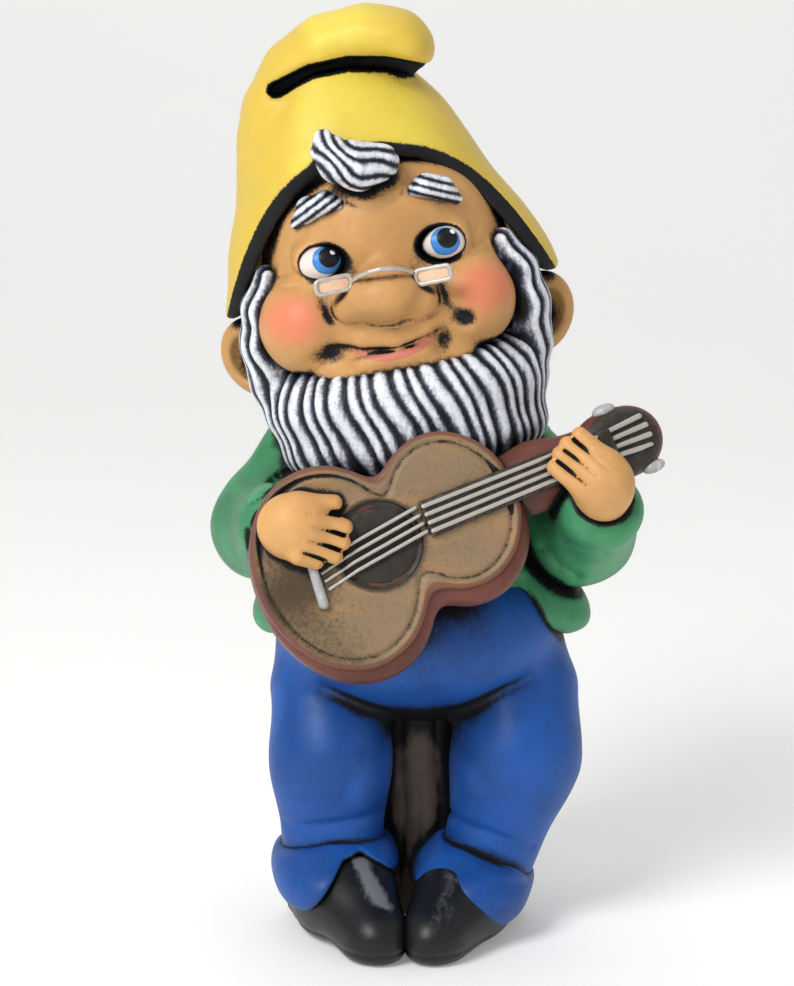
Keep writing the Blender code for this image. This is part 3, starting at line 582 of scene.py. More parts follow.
def face_soot(p):
    # Dark paint lines and smudges on the face, with painted shade: the lids' shadow in the ring round each
    # eye, the band under the nose and the back of the head under the hair; and a dark patch at each eye's
    # inner corner.
    x, y, z = p
    front = y < -8
    dark = 0.28 * bowl(from_line(x, z, MOUTH_LINE), 1.0)
    for (cx, cz), (rx, rz) in SMUDGES:
        spot = ((x - cx) / (rx * 1.5)) ** 2 + ((z - cz) / (rz * 1.5)) ** 2
        dark = dark + 1.1 * np.exp(-spot)
    for line in SMILE_LINES:
        dark = dark + 0.6 * bowl(from_line(x, z, line), 2.1)
    for line in LAUGH_LINES:
        dark = dark + 0.5 * bowl(from_line(x, z, line), 0.6)
    dark = dark + 0.5 * bowl(from_line(x, z, FOREHEAD_LINE), 0.6)
    # painted shade under the nose
    under_nose = [(-11, -4.2), (-5, -6.0), (0, -6.9), (5, -6.4), (10, -6.2)]
    dark = dark + 0.55 * bowl(from_line(x, z, under_nose), 1.6)
    for cx, _, cz in EYE_PLACES.values():
        # painted line round each eye, with the lid's painted shadow
        ring = np.abs(np.hypot((x - cx) / 6.1, (z - cz) / 4.8) - 1)
        dark = dark + 0.85 * bowl(ring, 0.17)
        corner = 1 if cx < 0 else -1
        dark = dark + 0.5 * np.exp(-(((x - cx - 6.6 * corner) / 2.2) ** 2) - ((z - cz - 0.5) / 3.2) ** 2)
    # painted shade on the back of the head, under the hair
    return dark * front + (y > 2) * 0.4


def blush_mask(p):
    x, y, z = p
    right = np.exp(-(((x + 25.0) / 7.6) ** 2) - ((z + 2.6) / 6.2) ** 2)
    left = np.exp(-(((x - 24.0) / 7.6) ** 2) - ((z + 2.0) / 6.2) ** 2)
    return np.clip(1.25 * (right + left), 0, 1) * (y < -6)


def lip_mask(p):
    x, y, z = p
    return np.clip(1.7 - from_line(x, z, LIP_LINE) / 0.95, 0, 1) * (y < -24)


def eye_clay(side):
    centre = EYE_PLACES[side]
    return lambda p: ball(p, centre, EYE_RADII)


def ear_clay(s):
    def shape(p):
        f = ball(p, (38.2 * s, 4, -13.4), (8.3, 5, 10.2), (0, 14 * s, 0))
        f = join(f, ball(p, (36 * s, 3, -18), (6, 4.5, 6)), 3)
        f = carve(f, ball(p, (39.8 * s, -1.2, -13.5), (4.6, 4.2, 6.6), (0, 14 * s, 0)), 1.2)
        return join(f, ball(p, (36 * s, 0.2, -14), (3.2, 2.6, 4.4)), 1.2)

    return shape


def ear_soot(s):
    def mask(p):
        x, y, z = p
        inner = np.exp(-(((x - 38.4 * s) / 2.9) ** 2) - ((z + 13) / 4.6) ** 2)
        return 1.3 * inner * (y < 3)

    return mask


# ------------------------------------------------------------ hair
STRAND_PITCH = 4.1
SIDEBURN = ((-20, -9, 0, 8), (34.8, 35, 33.5, 31))  # how far out the sideburn runs at each height
FACE_EDGE = ((-1.2, -2.0), (32.4, 16.6))  # middle and half sizes of the beard's opening


def beard_phase(x, y, z):
    down = np.maximum(-(z + 13), 0)
    across = x * 35 / np.interp(z, *SIDEBURN) - 0.24 * down
    round_face = np.arctan2(across, np.maximum(-(y - 2), 3)) * 37
    wave = 1.0 * np.sin(down / 5.0 + round_face * 0.06) + 0.6 * np.sin(round_face * 0.5)
    return (round_face + wave) / STRAND_PITCH


def beard_clay(p):
    x, y, z = p
    s = both_sides(p)
    f = ball(p, (0, -7, -27), (37, 30, 18.5))
    f = join(f, ball(p, (0.8, -11, -39), (34, 26, 12.5)), 5)
    burn = [(30.5, -14, 8), (33.2, -12, 0), (34.3, -10.5, -9), (34, -9, -20)]
    f = join(f, chain(s, burn, (2.4, 4.3, 5.0, 5.2), (1, 0.6, 1), 3), 3)
    (cx, cz), (rx, rz) = FACE_EDGE
    opening = (((x - cx) / rx) ** 4 + ((z - cz) / rz) ** 4) ** 0.25 - 1
    f = carve(f, np.maximum(opening * rz, z - 2), 1.5)
    f = keep(f, y - 9.5, 2)
    strand = strands(beard_phase(x, y, z))
    return f - 0.95 * (strand - 0.45)


def beard_strand(p):
    return strands(beard_phase(*p), 0.9)


def back_phase(x, y, z):
    round_head = np.arctan2(x, y - 2) * 36
    return (round_head + 1.3 * np.sin(z / 6.0 + round_head * 0.09) + 0.6 * np.sin(round_head * 0.5)) / 3.4


def back_clay(p):
    x, y, z = p
    f = ball(p, (0, 8, -12), (36.5, 29.5, 17))
    f = join(f, ball(p, (0, 12, -25), (28, 23, 12)), 5)
    f = keep(f, 3 - y, 2)
    return f - 0.9 * (strands(back_phase(x, y, z)) - 0.45)


def back_strand(p):
    return strands(back_phase(*p), 0.9)


LOCK_MIDDLE, LOCK_PITCH = (7.5, 48.0), 2.7
LOCK_POINTS = [
    (-9.8, -33, 41.6),
    (-9.4, -33.6, 38.4),
    (-6.9, -33.2, 34.9),
    (-2.2, -32.2, 32.8),
    (3.2, -31.2, 33.0),
]


def lock_phase(x, z):
    rings = np.hypot(x - LOCK_MIDDLE[0], z - LOCK_MIDDLE[1]) / LOCK_PITCH
    return rings + 0.3 * np.sin(x / 2.1) + 0.2 * np.sin(z / 1.7)


def lock_clay(p):
    f = chain(p, LOCK_POINTS, (1.5, 3.2, 4.7, 5.2, 4.4), (1, 0.8, 1), 3)
    return f - 0.5 * (strands(lock_phase(p[0], p[2])) - 0.5)


def lock_strand(p):
    return strands(lock_phase(p[0], p[2]), 0.9)


BROW_POINTS = {
    "right": [(-20.2, -24.6, 20.8), (-16.5, -27.0, 24.0), (-12, -29.0, 25.2), (-8.7, -30.2, 24.4)],
    "left": [(20.3, -24.4, 20.8), (17, -26.6, 24.0), (13, -28.6, 25.4), (9.8, -30.0, 24.8)],
}
BROW_RADII = (1.5, 2.4, 2.2, 1.2)


def brow_phase(side, x, z):
    lean = -0.5 if side == "right" else 0.4
    return (0.9 * z + lean * x) / 2.0


def brow_clay(side):
    def shape(p):
        f = chain(p, BROW_POINTS[side], BROW_RADII, (1, 0.8, 1), 3)
        return f - 0.3 * (strands(brow_phase(side, p[0], p[2])) - 0.5)

    return shape


def brow_strand(side):
    return lambda p: strands(brow_phase(side, p[0], p[2]), 0.9)


# ------------------------------------------------------------ spectacles
LENS_PLACES = {"right": ((-13.0, -37.0, 5.3), 12, 2), "left": ((11.8, -37.0, 4.0), -12, 3)}
LENS_HALF = (4.5, 1.75)


def lens_local(p, side):
    centre, yaw, roll = LENS_PLACES[side]
    x, y, z = (axis - c for axis, c in zip(p, centre))
    a, b = math.radians(yaw), math.radians(roll)
    u, w = x * math.cos(a) + y * math.sin(a), -x * math.sin(a) + y * math.cos(a)
    return u * math.cos(b) + z * math.sin(b), w, -u * math.sin(b) + z * math.cos(b)


def rounded_plate(u, v, half, corner):
    du, dv = np.abs(u) - half[0] + corner, np.abs(v) - half[1] + corner
    return np.hypot(np.maximum(du, 0), np.maximum(dv, 0)) + np.minimum(np.maximum(du, dv), 0) - corner


def lens_clay(side):
    def shape(p):
        u, w, v = lens_local(p, side)
        return keep(rounded_plate(u, v, LENS_HALF, 0.9), np.abs(w) - 0.9 + 0.03 * (u * u + v * v), 0.5)

    return shape


def rim_clay(side):
    def shape(p):
        u, w, v = lens_local(p, side)
        ring = rounded_plate(u, v, LENS_HALF, 1.2)
        return np.hypot(ring, w + 0.5) - WIRE_RADIUS + 0.05 * np.sin(1.9 * u + v)

    return shape


BOW_POINTS = [
    (-8.0, -37.2, 5.6),
    (-6.2, -40.4, 6.8),
    (-3.6, -42.4, 7.6),
    (-0.8, -43.0, 7.9),
    (2.0, -42.4, 7.6),
    (4.4, -40.4, 6.8),
    (6.6, -37.4, 5.4),
]
WIRE_RADIUS = 0.6


def bow_clay(p):
    return chain(p, BOW_POINTS, [WIRE_RADIUS] * len(BOW_POINTS))


# ------------------------------------------------------------ jacket and hands
JACKET_HEM = ((-42, -36, -30, -22, 0, 22.7, 28.3, 34.2, 42.7, 52), (77, 77, 82, 91, 95, 90, 87, 82, 77.8, 80))


def jacket_clay(p):
    x, y, z = p
    f = ball(p, (2, 3, 106), (35, 28, 24))
    f = join(f, ball(p, (3, 4, 92), (38, 30, 17)), 6)
    f = join(f, ball(p, (4, 3, 84), (41, 31, 10)), 6)
    f = join(f, ball(p, (37, -3, 88), (13.5, 15, 8), (0, 34, 0)), 4)
    f = join(f, ball(p, (-29, -3, 87), (12, 16, 7.5), (0, -30, 0)), 4)
    f = join(f, rod(p, (-20, 4, 122), (24, 5, 122), 17, 17), 6)
    f = join(f, rod(p, (0, 3, 126), (-1, 2, 138), 19, 17), 5)
    hem = np.interp(x, *JACKET_HEM)
    hem = hem + (76.5 - hem) * np.clip((y + 8) / 12, 0, 1)
    f = keep(f, (hem - z) * 0.8, 2.2)
    folds = [
        ([(33, 100), (40, 93), (43, 86)], 1.8, 1.1),
        ([(30, 94), (34, 87), (35, 82)], 1.6, 0.8),
        ([(-34, 96), (-36, 88)], 1.6, 0.9),
    ]
    seam = bowl(x - 2, 0.9) * (y > 10)
    return pressed(f, p, folds) + 0.5 * seam + 0.5 * ripple(x, y, z, 30, 3.0)


def sleeve_clay(points, radii, folds, wrist):
    def shape(p):
        x, y, z = p
        f = pressed(chain(p, points, radii, (1, 1, 1), 7), p, folds)
        f = f + 0.45 * ripple(x, y, z, 21, 4.0)
        return carve(f, ball(p, *wrist), 1.4)

    return shape


RIGHT_SLEEVE = (
    [(-24, 3, 124), (-36.5, -8, 107.5), (-31, -34, 112)],
    (14, 12.4, 11),
    [
        ([(-26, 124), (-33, 121), (-38, 118)], 1.0, 1.4),
        ([(-38.5, 112), (-37.5, 104), (-34.5, 99)], 1.3, 1.6),
        ([(-30, 106), (-33, 100)], 1.1, 1.1),
        ([(-33, 128), (-40, 120)], 2.2, 0.7),
    ],
    ((-29, -50, 115.5), (11.5, 12, 10.5)),
)
LEFT_SLEEVE = (
    [(28, 4, 122), (45.5, -9, 106.5), (49, -34, 116)],
    (14, 13, 10.8),
    [
        ([(36, 104), (40, 99), (44, 97)], 1.4, 1.5),
        ([(44, 114), (52, 113), (56, 118)], 1.5, 0.9),
        ([(41, 108), (50, 106)], 1.3, 0.8),
    ],
    ((50, -47, 124.5), (10.2, 11, 11)),
)


def on_guitar(place, x, z, height):
    """The figure's point with this x and z whose depth in the guitar's frame is the given height."""
    t = place.turn[:, 1]
    origin = place.place
    y = origin[1] + (height - (x - origin[0]) * t[0] - (z - origin[2]) * t[2]) / t[1]
    return (x, float(y), z)


HANDS = {
    "right": dict(
        place="GUITAR",
        palm=((-27.5, 115.3), (8.6, 6.5, 8.2), (0, 8, 0)),
        wrist=(-32, -36, 112.5),
        fingers=[
            ((-25.5, 121.3), (-17.4, 120.8)),
            ((-22, 117.8), (-14.8, 115.0)),
            ((-22.6, 114.4), (-15.3, 111.4)),
            ((-23.8, 111.2), (-17.2, 108.2)),
            ((-25.8, 108.6), (-21.8, 107.0)),
        ],
    ),
    "left": dict(
        place="NECK",
        palm=((48.9, 124.6), (7.6, 6, 8.4), (0, -10, 0)),
        wrist=(50, -34, 117),
        fingers=[
            ((50.5, 130.4), (43.2, 136.4)),
            ((48.2, 128.6), (40.1, 134.2)),
            ((45.8, 126.6), (38.3, 131.9)),
            ((43.6, 123.6), (37.0, 128.8)),
        ],
    ),
}
FINGER_RADIUS = 2.15
FINGER_HEIGHT = {"GUITAR": -11.2, "NECK": -13.6}


def finger_gaps(fingers):
    for (a, b), (c, d) in zip(fingers[:-1], fingers[1:]):
        start = tuple((i + j) / 2 for i, j in zip(a, c))
        end = tuple((i + j) / 2 for i, j in zip(b, d))
        yield start, end


def hand_clay(side):
    hand = HANDS[side]
    place = {"GUITAR": GUITAR, "NECK": NECK}[hand["place"]]
    height = FINGER_HEIGHT[hand["place"]]
    (cx, cz), radii, turn = hand["palm"]

    def shape(p):
        x, _, z = p
        palm = on_guitar(place, cx, cz, height)
        palm = (cx, palm[1] + 0.8, cz)
        f = ball(p, palm, radii, turn)
        f = join(f, rod(p, palm, hand["wrist"], 6.2, 6.5), 4)
        fingers = None
        for start, end in hand["fingers"]:
            a = on_guitar(place, *start, height - 0.9)
            b = on_guitar(place, *end, height + 0.5)
            g = rod(p, a, b, FINGER_RADIUS + 0.15, FINGER_RADIUS - 0.1, (1, 0.75, 1))
            fingers = g if fingers is None else join(fingers, g, 0.6)
        f = join(f, fingers, 2.2)
        for start, end in finger_gaps(hand["fingers"]):
            f = f + 0.45 * bowl(from_line(x, z, [start, end]), 0.4)
        return f

    return shape


def hand_soot(side):
    hand = HANDS[side]

    def mask(p):
        x, y, z = p
        gaps = [bowl(from_line(x, z, [a, b]), 0.34) for a, b in finger_gaps(hand["fingers"])]
        # dark paint lines between the fingers, and painted shade on the hand's far part towards the wrist and
        # guitar
        return 0.6 * np.maximum.reduce(gaps) + (y > -41) * 0.3

    return mask


# ------------------------------------------------------------ trousers, cuffs, shoes and stump
CREASE = [(-21, 66.2), (-11, 62.2), (-2.5, 59.6), (5, 58.4), (15.7, 61), (25, 66.8), (33, 69)]


def trousers_clay(p):
    x, y, z = p
    belly = ball(p, (4, -3, 80), (36.5, 31.5, 23))
    belly = join(belly, ball(p, (4, 3, 74), (38, 27, 18)), 5)
    belly = join(belly, ball(p, (5, 12, 66), (28, 19, 15)), 6)
    right = chain(p, [(-20, -3, 63), (-19.5, -10, 46), (-19, -10, 22)], (15.5, 13.9, 13), (1, 1, 1), 9)
    left = chain(p, [(29, -3, 63), (29.4, -10, 47), (22.3, -10, 21)], (16.5, 15.1, 12.2), (1, 1, 1), 9)
    f = join(belly, join(right, left, 1), 4)
    f = f + 1.2 * bowl(from_line(x, z, CREASE), 2.2) * (y < 0)
    folds = [
        ([(-31, 29.5), (-20, 31.5), (-8, 33)], 1.2, 0.8),
        ([(12, 31), (22, 29), (33, 24)], 1.2, 0.8),
        ([(14, 52), (20, 44)], 2.4, 0.5),
        ([(-10, 50), (-14, 42)], 2.4, 0.5),
    ]
    f = pressed(f, p, folds) + 0.7 * bowl(x - 5, 1.2) * (y > 8)
    f = keep(f, z - 98, 3)
    f = keep(f, 13 - z, 2)
    return f + 0.5 * ripple(x, y, z, 33, 5.0)


def trousers_soot(p):
    # Painted shade on the trousers: in the crease under the belly, in the crotch, between the legs and the
    # guitar's shadow on the belly; and a dark back seam.
    x, y, z = p
    front = y < 2
    fade = np.clip(1.25 - np.abs(x - 5) / 30, 0, 1)
    dark = bowl(from_line(x, z, CREASE), 3.2) * 0.85 * fade
    crotch = 0.9 * np.exp(-(((x - 4.5) / 11) ** 2) - ((z - 56) / 7) ** 2)
    inner = 0.5 * bowl(x - 4, 10) * (z < 60)
    # painted shadow of the guitar on the belly
    under_guitar = 0.5 * np.exp(-(((x - 8) / 24) ** 2) - ((z - 88) / 14) ** 2)
    return front * (dark + crotch + under_guitar) + inner + 0.5 * bowl(x - 5, 2) * (y > 8)


CUFF_HEMS = {  # the turn-up's lower edge from right to left, and its height there
    "right": (
        (-40, -34.7, -28, -24.5, -21.1, -16, -11.7, -6, 0),
        (10, 9.8, 8.6, 9.8, 15, 22.6, 23.6, 20.4, 15),
    ),
    "left": (
        (-2, 0.2, 7.2, 10.9, 15.6, 18.4, 20.5, 31.5, 40),
        (9.5, 11.2, 17.2, 17.6, 13.6, 4.6, 3.2, 4.6, 5),
    ),
}


def cuff_clay(side):
    if side == "right":
        lumps = [((-18.5, -9, 18.5), (16.6, 20, 11)), ((-18.3, -14, 15.5), (16.2, 22, 11))]
        tops = (-40, -31.6, -19.7, -8.7, -3.8, 0), (23, 24.5, 28.2, 29.2, 25.5, 17)
    else:
        lumps = [((17.8, -9, 15.5), (16.3, 20, 11)), ((17.4, -14, 12.5), (15.6, 22, 11.5))]
        tops = (-1, 3.6, 9.1, 15.8, 23.3, 31.9, 40), (15, 19.3, 26.0, 25.7, 22, 17, 15)

    def shape(p):
        x, y, z = p
        f = join(ball(p, *lumps[0]), ball(p, *lumps[1]), 3)
        hem = np.interp(x, *CUFF_HEMS[side])
        hem = hem + (7.5 - hem) * np.clip((y + 12) / 10, 0, 1)
        f = carve(f, (z - hem) * 0.75, 1.8)
        top = np.interp(x, *tops) + np.clip((y + 10) / 30, 0, 1) * 2
        f = keep(f, (z - top) * 0.8, 2.6)
        return f + 0.4 * ripple(x, y, z, 17, 6.0) + 0.6 * bowl(z - top + 1.0, 0.9)

    return shape


def shoe_clay(s):
    lift = 1.5 if s < 0 else 0

    def shape(p):
        x, _, z = p
        f = ball(p, (20 * s, 0, 10), (13.5, 14, 13 + lift))
        f = join(f, ball(p, (17 * s, -13, 9.5), (13.5, 18, 11 + lift)), 4)
        f = join(f, ball(p, (14 * s, -23, 10.5 + lift), (12.5, 15, 11), (12, 0, -12 * s)), 4)
        f = join(f, ball(p, (8.5 * s, -35, 6.5), (9.5, 12.5, 9), (8, 0, -18 * s)), 5)
        f = keep(f, -0.1 - s * x, 0.5)
        sole = bowl(z - 3.6, 0.5) * 0.45
        return keep(f + sole, -z, 1.6)

    return shape


STUMP_MIDDLE, STUMP_RADIUS, STUMP_HEIGHT = (4, 16), 18, 61.5
STUMP_TAPER = 1.5  # how much narrower the stump is at its top
BARK_FACETS = 11
POUR_HOLE_RADIUS = 9


def stump_clay(p):
    x, y, z = p
    dx, dy = x - STUMP_MIDDLE[0], y - STUMP_MIDDLE[1]
    angle = np.arctan2(dy, dx) + math.radians(8)
    sector = 2 * math.pi / BARK_FACETS
    facet = np.cos((angle + sector / 2) % sector - sector / 2)
    radius = STUMP_RADIUS - STUMP_TAPER * z / 61
    round_bark = np.hypot(dx, dy) * (0.55 + 0.45 * facet) - radius * 0.97
    bark = 0.55 * strands((angle / sector * 2 + 0.12 * np.sin(z / 6)), 0.5)
    roots = 2.4 * np.exp(-z / 5) * (0.5 + 0.5 * np.cos(5 * angle))
    knot = 1.2 * np.exp(-(((angle - 1.9) * 9) ** 2) - ((z - 33) / 4.5) ** 2)
    f = round_bark - bark - roots - knot
    f = f + 0.15 * bowl(np.sin(z / 5.2 + 2 * np.sin(angle * 2)), 0.14)
    f = keep(f, z - STUMP_HEIGHT, 1.5)
    f = carve(f, np.maximum(np.hypot(dx, dy) - POUR_HOLE_RADIUS, z - 57), 1)
    return keep(f, -z, 0.8)


def stump_soot(p):
    # Painted shade on the stump between the legs: darker at its top under the trousers and at both sides next
    # to the legs.
    x, y, z = p
    top = np.clip((z - 44) / 6, 0, 1) * 0.8
    shade = np.clip((x - 7.8) / 1.4, 0, 1) * 0.45
    left = np.clip((-2.6 - x) / 1.5, 0, 1) * 0.4
    return (top + shade + left) * (y < 4)


# ------------------------------------------------------------ guitar
BOARD_OVALS = (((-13.5, -2.0), (20.6, 25.6)), ((17.5, -1.2), (16.8, 19.6)))
SIDE_OVALS = (((-13.0, -4.0), (22.0, 28.0)), ((18.0, -3.5), (18.0, 22.4)))
HOLE_RADIUS = 10.9
HOLE_MIDDLE = (-2.4, -1.2)
LINE_INSET = 2.7


def guitar_outline(u, v, ovals=BOARD_OVALS):
    lower, upper = (oval(u, v, *one) for one in ovals)
    return join(lower, upper, 6)


def from_hole(u, v):
    return np.hypot(u - HOLE_MIDDLE[0], v - HOLE_MIDDLE[1])


def guitar_body_clay(p):
    u, d, v = p
    f = keep(guitar_outline(u, v, SIDE_OVALS), np.abs(d + 0.3) - 7.3, 5.5)
    return f + 0.15 * ripple(u, d, v, 19, 7.0)


def soundboard_clay(p):
    u, d, v = p
    outline = guitar_outline(u, v) - 0.5
    f = keep(outline, np.maximum(-9 - d + 0.25 * bowl(outline + 10, 7), d + 3), 1.6)
    f = f + 0.8 * bowl(outline + LINE_INSET, 0.6) * (d < -5)
    f = carve(f, np.maximum(from_hole(u, v) - HOLE_RADIUS, np.abs(d + 9) - 2.2), 0.5)
    f = f - 0.35 * bowl(from_hole(u, v) - HOLE_RADIUS - 0.9, 0.6)
    return f + 0.12 * ripple(u, d, v, 13, 8.0)


def hole_floor_clay(p):
    u, d, v = p
    f = keep(from_hole(u, v) - 11.8, np.maximum(-8.1 - d, d + 5), 0.8)
    return f + 0.55 * bowl(from_hole(u, v) - 9.8, 0.55) + 0.2 * ripple(u, d, v, 5, 9.0)


def bridge_clay(p):
    return rod(p, (-19.4, -9.7, 3.2), (-21.2, -9.7, -8.2), 1.15, 1.3, (1, 0.9, 1))


NECK_END = 62
FRETBOARD_START = 10.6


def neck_clay(p):
    u, d, v = p
    f = chain(p, [(20, 0.5, 0), (42, 0.6, 0), (NECK_END, 0.8, 0)], (8.4, 7.7, 6.6), (1, 1.15, 1), 6)
    f = keep(f, -8.1 - d, 2.2)
    return f + 0.12 * ripple(u, d, v, 17, 10.0)


def fretboard_clay(p):
    u, d, v = p
    half = 4.7 - 0.014 * (u - 11)
    ends = np.maximum(FRETBOARD_START - u, u - NECK_END)
    f = keep(np.maximum(np.abs(v) - half, ends), np.abs(d + 8.9) - 1.5, 0.8)
    return f + 0.1 * ripple(u, d, v, 7, 11.0)


def headstock_clay(p):
    f = ball(p, (66, -2.6, -0.5), (9.6, 6.4, 9.0))
    f = join(f, ball(p, (60, -2.2, 0), (7.5, 6, 8)), 4)
    return keep(f, -7.6 - p[1], 1.6)


def face_of_headstock(p):
    u, d, v = p
    inside = np.hypot((u - 64.5) / 10.2, (v + 0.6) / 9.4)
    return np.clip((1.02 - inside) * 6, 0, 1) * (d < -4.5)


def peg_clay(centre):
    return lambda p: ball(p, centre, (3.1, 2.1, 1.7))


STRING_COUNT = 4
STRING_PITCHES = (2.15, 2.6)  # over the hole and on the headstock


def string_clay(k):
    """Three ridges in one string: from the bridge over the hole, up the neck and on the headstock."""
    place = (STRING_COUNT - 1) / 2 - k
    turn = GUITAR.turn.T @ NECK.turn

    def shape(p):
        v = place * STRING_PITCHES[0]
        over_hole = [(-18.3, -9.0, v - 2.4), (-9.8, -9.2, v - 1.3), (9.8, -9.4, v - 0.2)]
        f = chain(p, over_hole, (0.42, 0.48, 0.52))
        a, b = turn @ np.array((11.2, -10.7, v)), turn @ np.array((58, -10.6, place * 1.9))
        f = np.minimum(f, rod(p, a, b, 0.6, 0.56))
        w = place * STRING_PITCHES[1]
        reach = 71.5 - 0.35 * abs(place) ** 2
        a, b = turn @ np.array((57.5, -8.6, w * 0.75)), turn @ np.array((reach, -7.5, w))
        return np.minimum(f, rod(p, a, b, 0.6, 0.75))

    return shape


def guitar_soot(p):
    u, d, v = p
    return 0.85 * bowl(guitar_outline(u, v) - 0.5 + LINE_INSET, 0.55) * (d < -6)


def board_shade(p):
    """How far the tan top darkens: painted shade towards the tail, under the strings and under the right
    hand, and a dark ring round the hole.
    """
    u, _, v = p
    tail = np.clip((-14 - u - 0.2 * v) / 12, 0, 1) * 0.55
    strings = bowl(v + 1.0 - 0.05 * u, 5.5) * 0.4
    ring = bowl(from_hole(u, v) - HOLE_RADIUS - 0.3, 0.8) * 0.9
    # painted shadow under the right hand
    hand = np.exp(-(((u + 17) / 7) ** 2) - ((v - 4) / 8) ** 2) * 0.6
    return tail + strings + ring + hand


# ------------------------------------------------------------ finishes
def tint(colour, factor):
    return tuple(min(1.0, c * factor) for c in colour)


def skin_paint(paints):
    paint, colour, cover = ceramic(
        "tan_skin", tuple(paints.skin), tint(paints.skin, 0.8), tint(paints.skin, 1.22), 0.55, 1.35, grain=0.9
    )
    speckled = paint.around(paint.noise(700, 3, 0.7), 0.5)
    rosy = paint.step(paint.math("ADD", paint.mask("blush"), speckled), 0.1, 0.95, 0, 0.85)
    bare = paint.bare(cover)
    colour = paint.mix(paint.math("MULTIPLY", rosy, bare), colour, tuple(paints.blush))
    lips = paint.math("MULTIPLY", paint.step(paint.mask("lip"), 0.2, 0.8, 0, 0.9), bare)
    colour = paint.mix(lips, colour, tuple(paints.lips))
    return paint.finish(colour, *paint.gloss)


def hair_paint(paints):
    """White dragged over navy: the ridges take the white and the grooves keep the dark ground."""
    paint = Paint("brushed_white_hair")
    drag = paint.noise(520, 4, 0.7, stretch=(1, 1, 0.28))
    fleck = paint.noise(1300, 2, 0.6)
    height = paint.around(drag, 0.9)
    height = paint.math("ADD", height, paint.around(fleck, 0.5))
    height = paint.math("ADD", height, paint.mask("strand"))
    # dark wash and painted shade dim the white in the hair's hollows
    shut = paint.math("MULTIPLY", paint.mask("wash"), -0.28)
    height = paint.math("ADD", height, shut)
    # dark paint lines and painted shade from the piece's own mask
    height = paint.math("SUBTRACT", height, paint.mask("soot"))
    ground = paint.mix(paint.step(height, 0.1, 0.5), BLACK, tuple(paints.hair_ground))
    colour = paint.mix(paint.step(height, 0.4, 0.78), ground, tint(paints.hair, 0.5))
    colour = paint.mix(paint.step(height, 0.62, 1.05), colour, tuple(paints.hair))
    paint.bump(drag, 0.25, 0.0004)
    return paint.finish(colour, paint.math("MULTIPLY_ADD", fleck, 0.2, 0.42), 0.0, 0.05)


def eye_paint(paints, side):
    paint = Paint("painted_eye_" + side)
    cx, cy, cz = EYE_PLACES[side]
    spots = {
        "right": ((-13.6, 11.2), (-13.1, 11.8), (-12.2, 12.7)),
        "left": ((16.2, 11.2), (16.7, 12.0), (18.1, 13.1)),
    }[side]

    def centre(spot):
        rx, ry, rz = EYE_RADII
        x, z = spot
        reach = max(0.05, 1 - ((x - cx) / rx) ** 2 - ((z - cz) / rz) ** 2)
        local = np.array((x, cy - ry * math.sqrt(reach), z))
        return tuple(HEAD.outward(local) + SHIFT)

    iris, pupil, glint = (paint.distance(centre(spot)) for spot in spots)
    brushed = paint.around(paint.noise(900, 3, 0.6), 0.5)
    cloud = paint.step(paint.noise(300, 3, 0.6), 0.4, 0.7, 0, 0.35)
    white = paint.mix(cloud, tuple(paints.eye), tint(paints.eye, 0.82))
    rim = paint.math("ADD", iris, brushed)
    colour = paint.mix(paint.step(rim, 3.75, 4.15), tint(paints.iris, 0.75), white)
    colour = paint.mix(paint.step(rim, 3.3, 3.8), tuple(paints.iris), colour)
    colour = paint.mix(paint.step(pupil, 2.6, 2.9), BLACK, colour)
    colour = paint.mix(paint.step(glint, 0.55, 0.8), (0.95, 0.95, 0.95), colour)
    # dark wash and painted shade round the eye's edge under the lids
    shut = paint.math("ADD", paint.mask("wash"), brushed)
    colour = paint.mix(paint.step(shut, 0.75, 1.35), colour, BLACK)
    paint.bump(paint.noise(700, 3, 0.6), 0.1, 0.0002)
    return paint.finish(colour, paint.math("MULTIPLY_ADD", brushed, 0.1, 0.34), 0.0, 0.1)


def silver_paint(name, colour, ground, low=0.75, high=1.5):
    """Silver paint rubbed over a dark ground, worn through in patches."""
    paint = Paint(name)
    worn = paint.noise(480, 4, 0.75)
    fine = paint.noise(1700, 2, 0.6)
    rubbed = paint.math("ADD", paint.mask("crest"), paint.math("MULTIPLY_ADD", worn, 1.1, -0.42))
    rubbed = paint.math("ADD", rubbed, paint.around(fine, 0.3))
    mixed = paint.mix(paint.step(rubbed, 0.1, 0.62), ground, colour)
    mixed, _ = washed_and_shaded(paint, mixed, low, high)
    metal = paint.step(rubbed, 0.2, 0.7, 0.05, 0.45)
    paint.bump(worn, 0.2, 0.0002)
    return paint.finish(mixed, paint.math("MULTIPLY_ADD", fine, 0.2, 0.32), metal, 0.0)


def guitar_top_paint(paints):
    """Tan paint over brown with streaks along the grain, painted shade by the tail and under the strings and
    hand, and a dark ring round the hole.
    """
    paint = Paint("brushed_tan_soundboard")
    streak = paint.noise(70, 5, 0.7, stretch=(0.55, 1, 1.5), warp=0.5)
    fine = paint.noise(900, 4, 0.75)
    warm = paint.mix(paint.step(streak, 0.42, 0.66), tuple(paints.board), tuple(paints.board_warm))
    speck = paint.step(fine, 0.5, 0.72, 0, 0.5)
    colour = paint.mix(speck, warm, tint(paints.board, 0.45))
    shade = paint.math("ADD", paint.mask("shade"), paint.around(fine, 0.9))
    colour = paint.mix(paint.step(shade, 0.15, 0.95, 0, 0.85), colour, tint(paints.board, 0.16))
    colour, cover = washed_and_shaded(paint, colour, 0.55, 1.0)
    rim = paint.step(paint.mask("rim"), 0.35, 0.75, 0, 0.75)
    colour = paint.mix(paint.math("MULTIPLY", rim, paint.bare(cover)), colour, tuple(paints.rim))
    paint.bump(fine, 0.2, 0.0002)
    return paint.finish(colour, paint.math("MULTIPLY_ADD", fine, 0.2, 0.4), 0.0, 0.06)


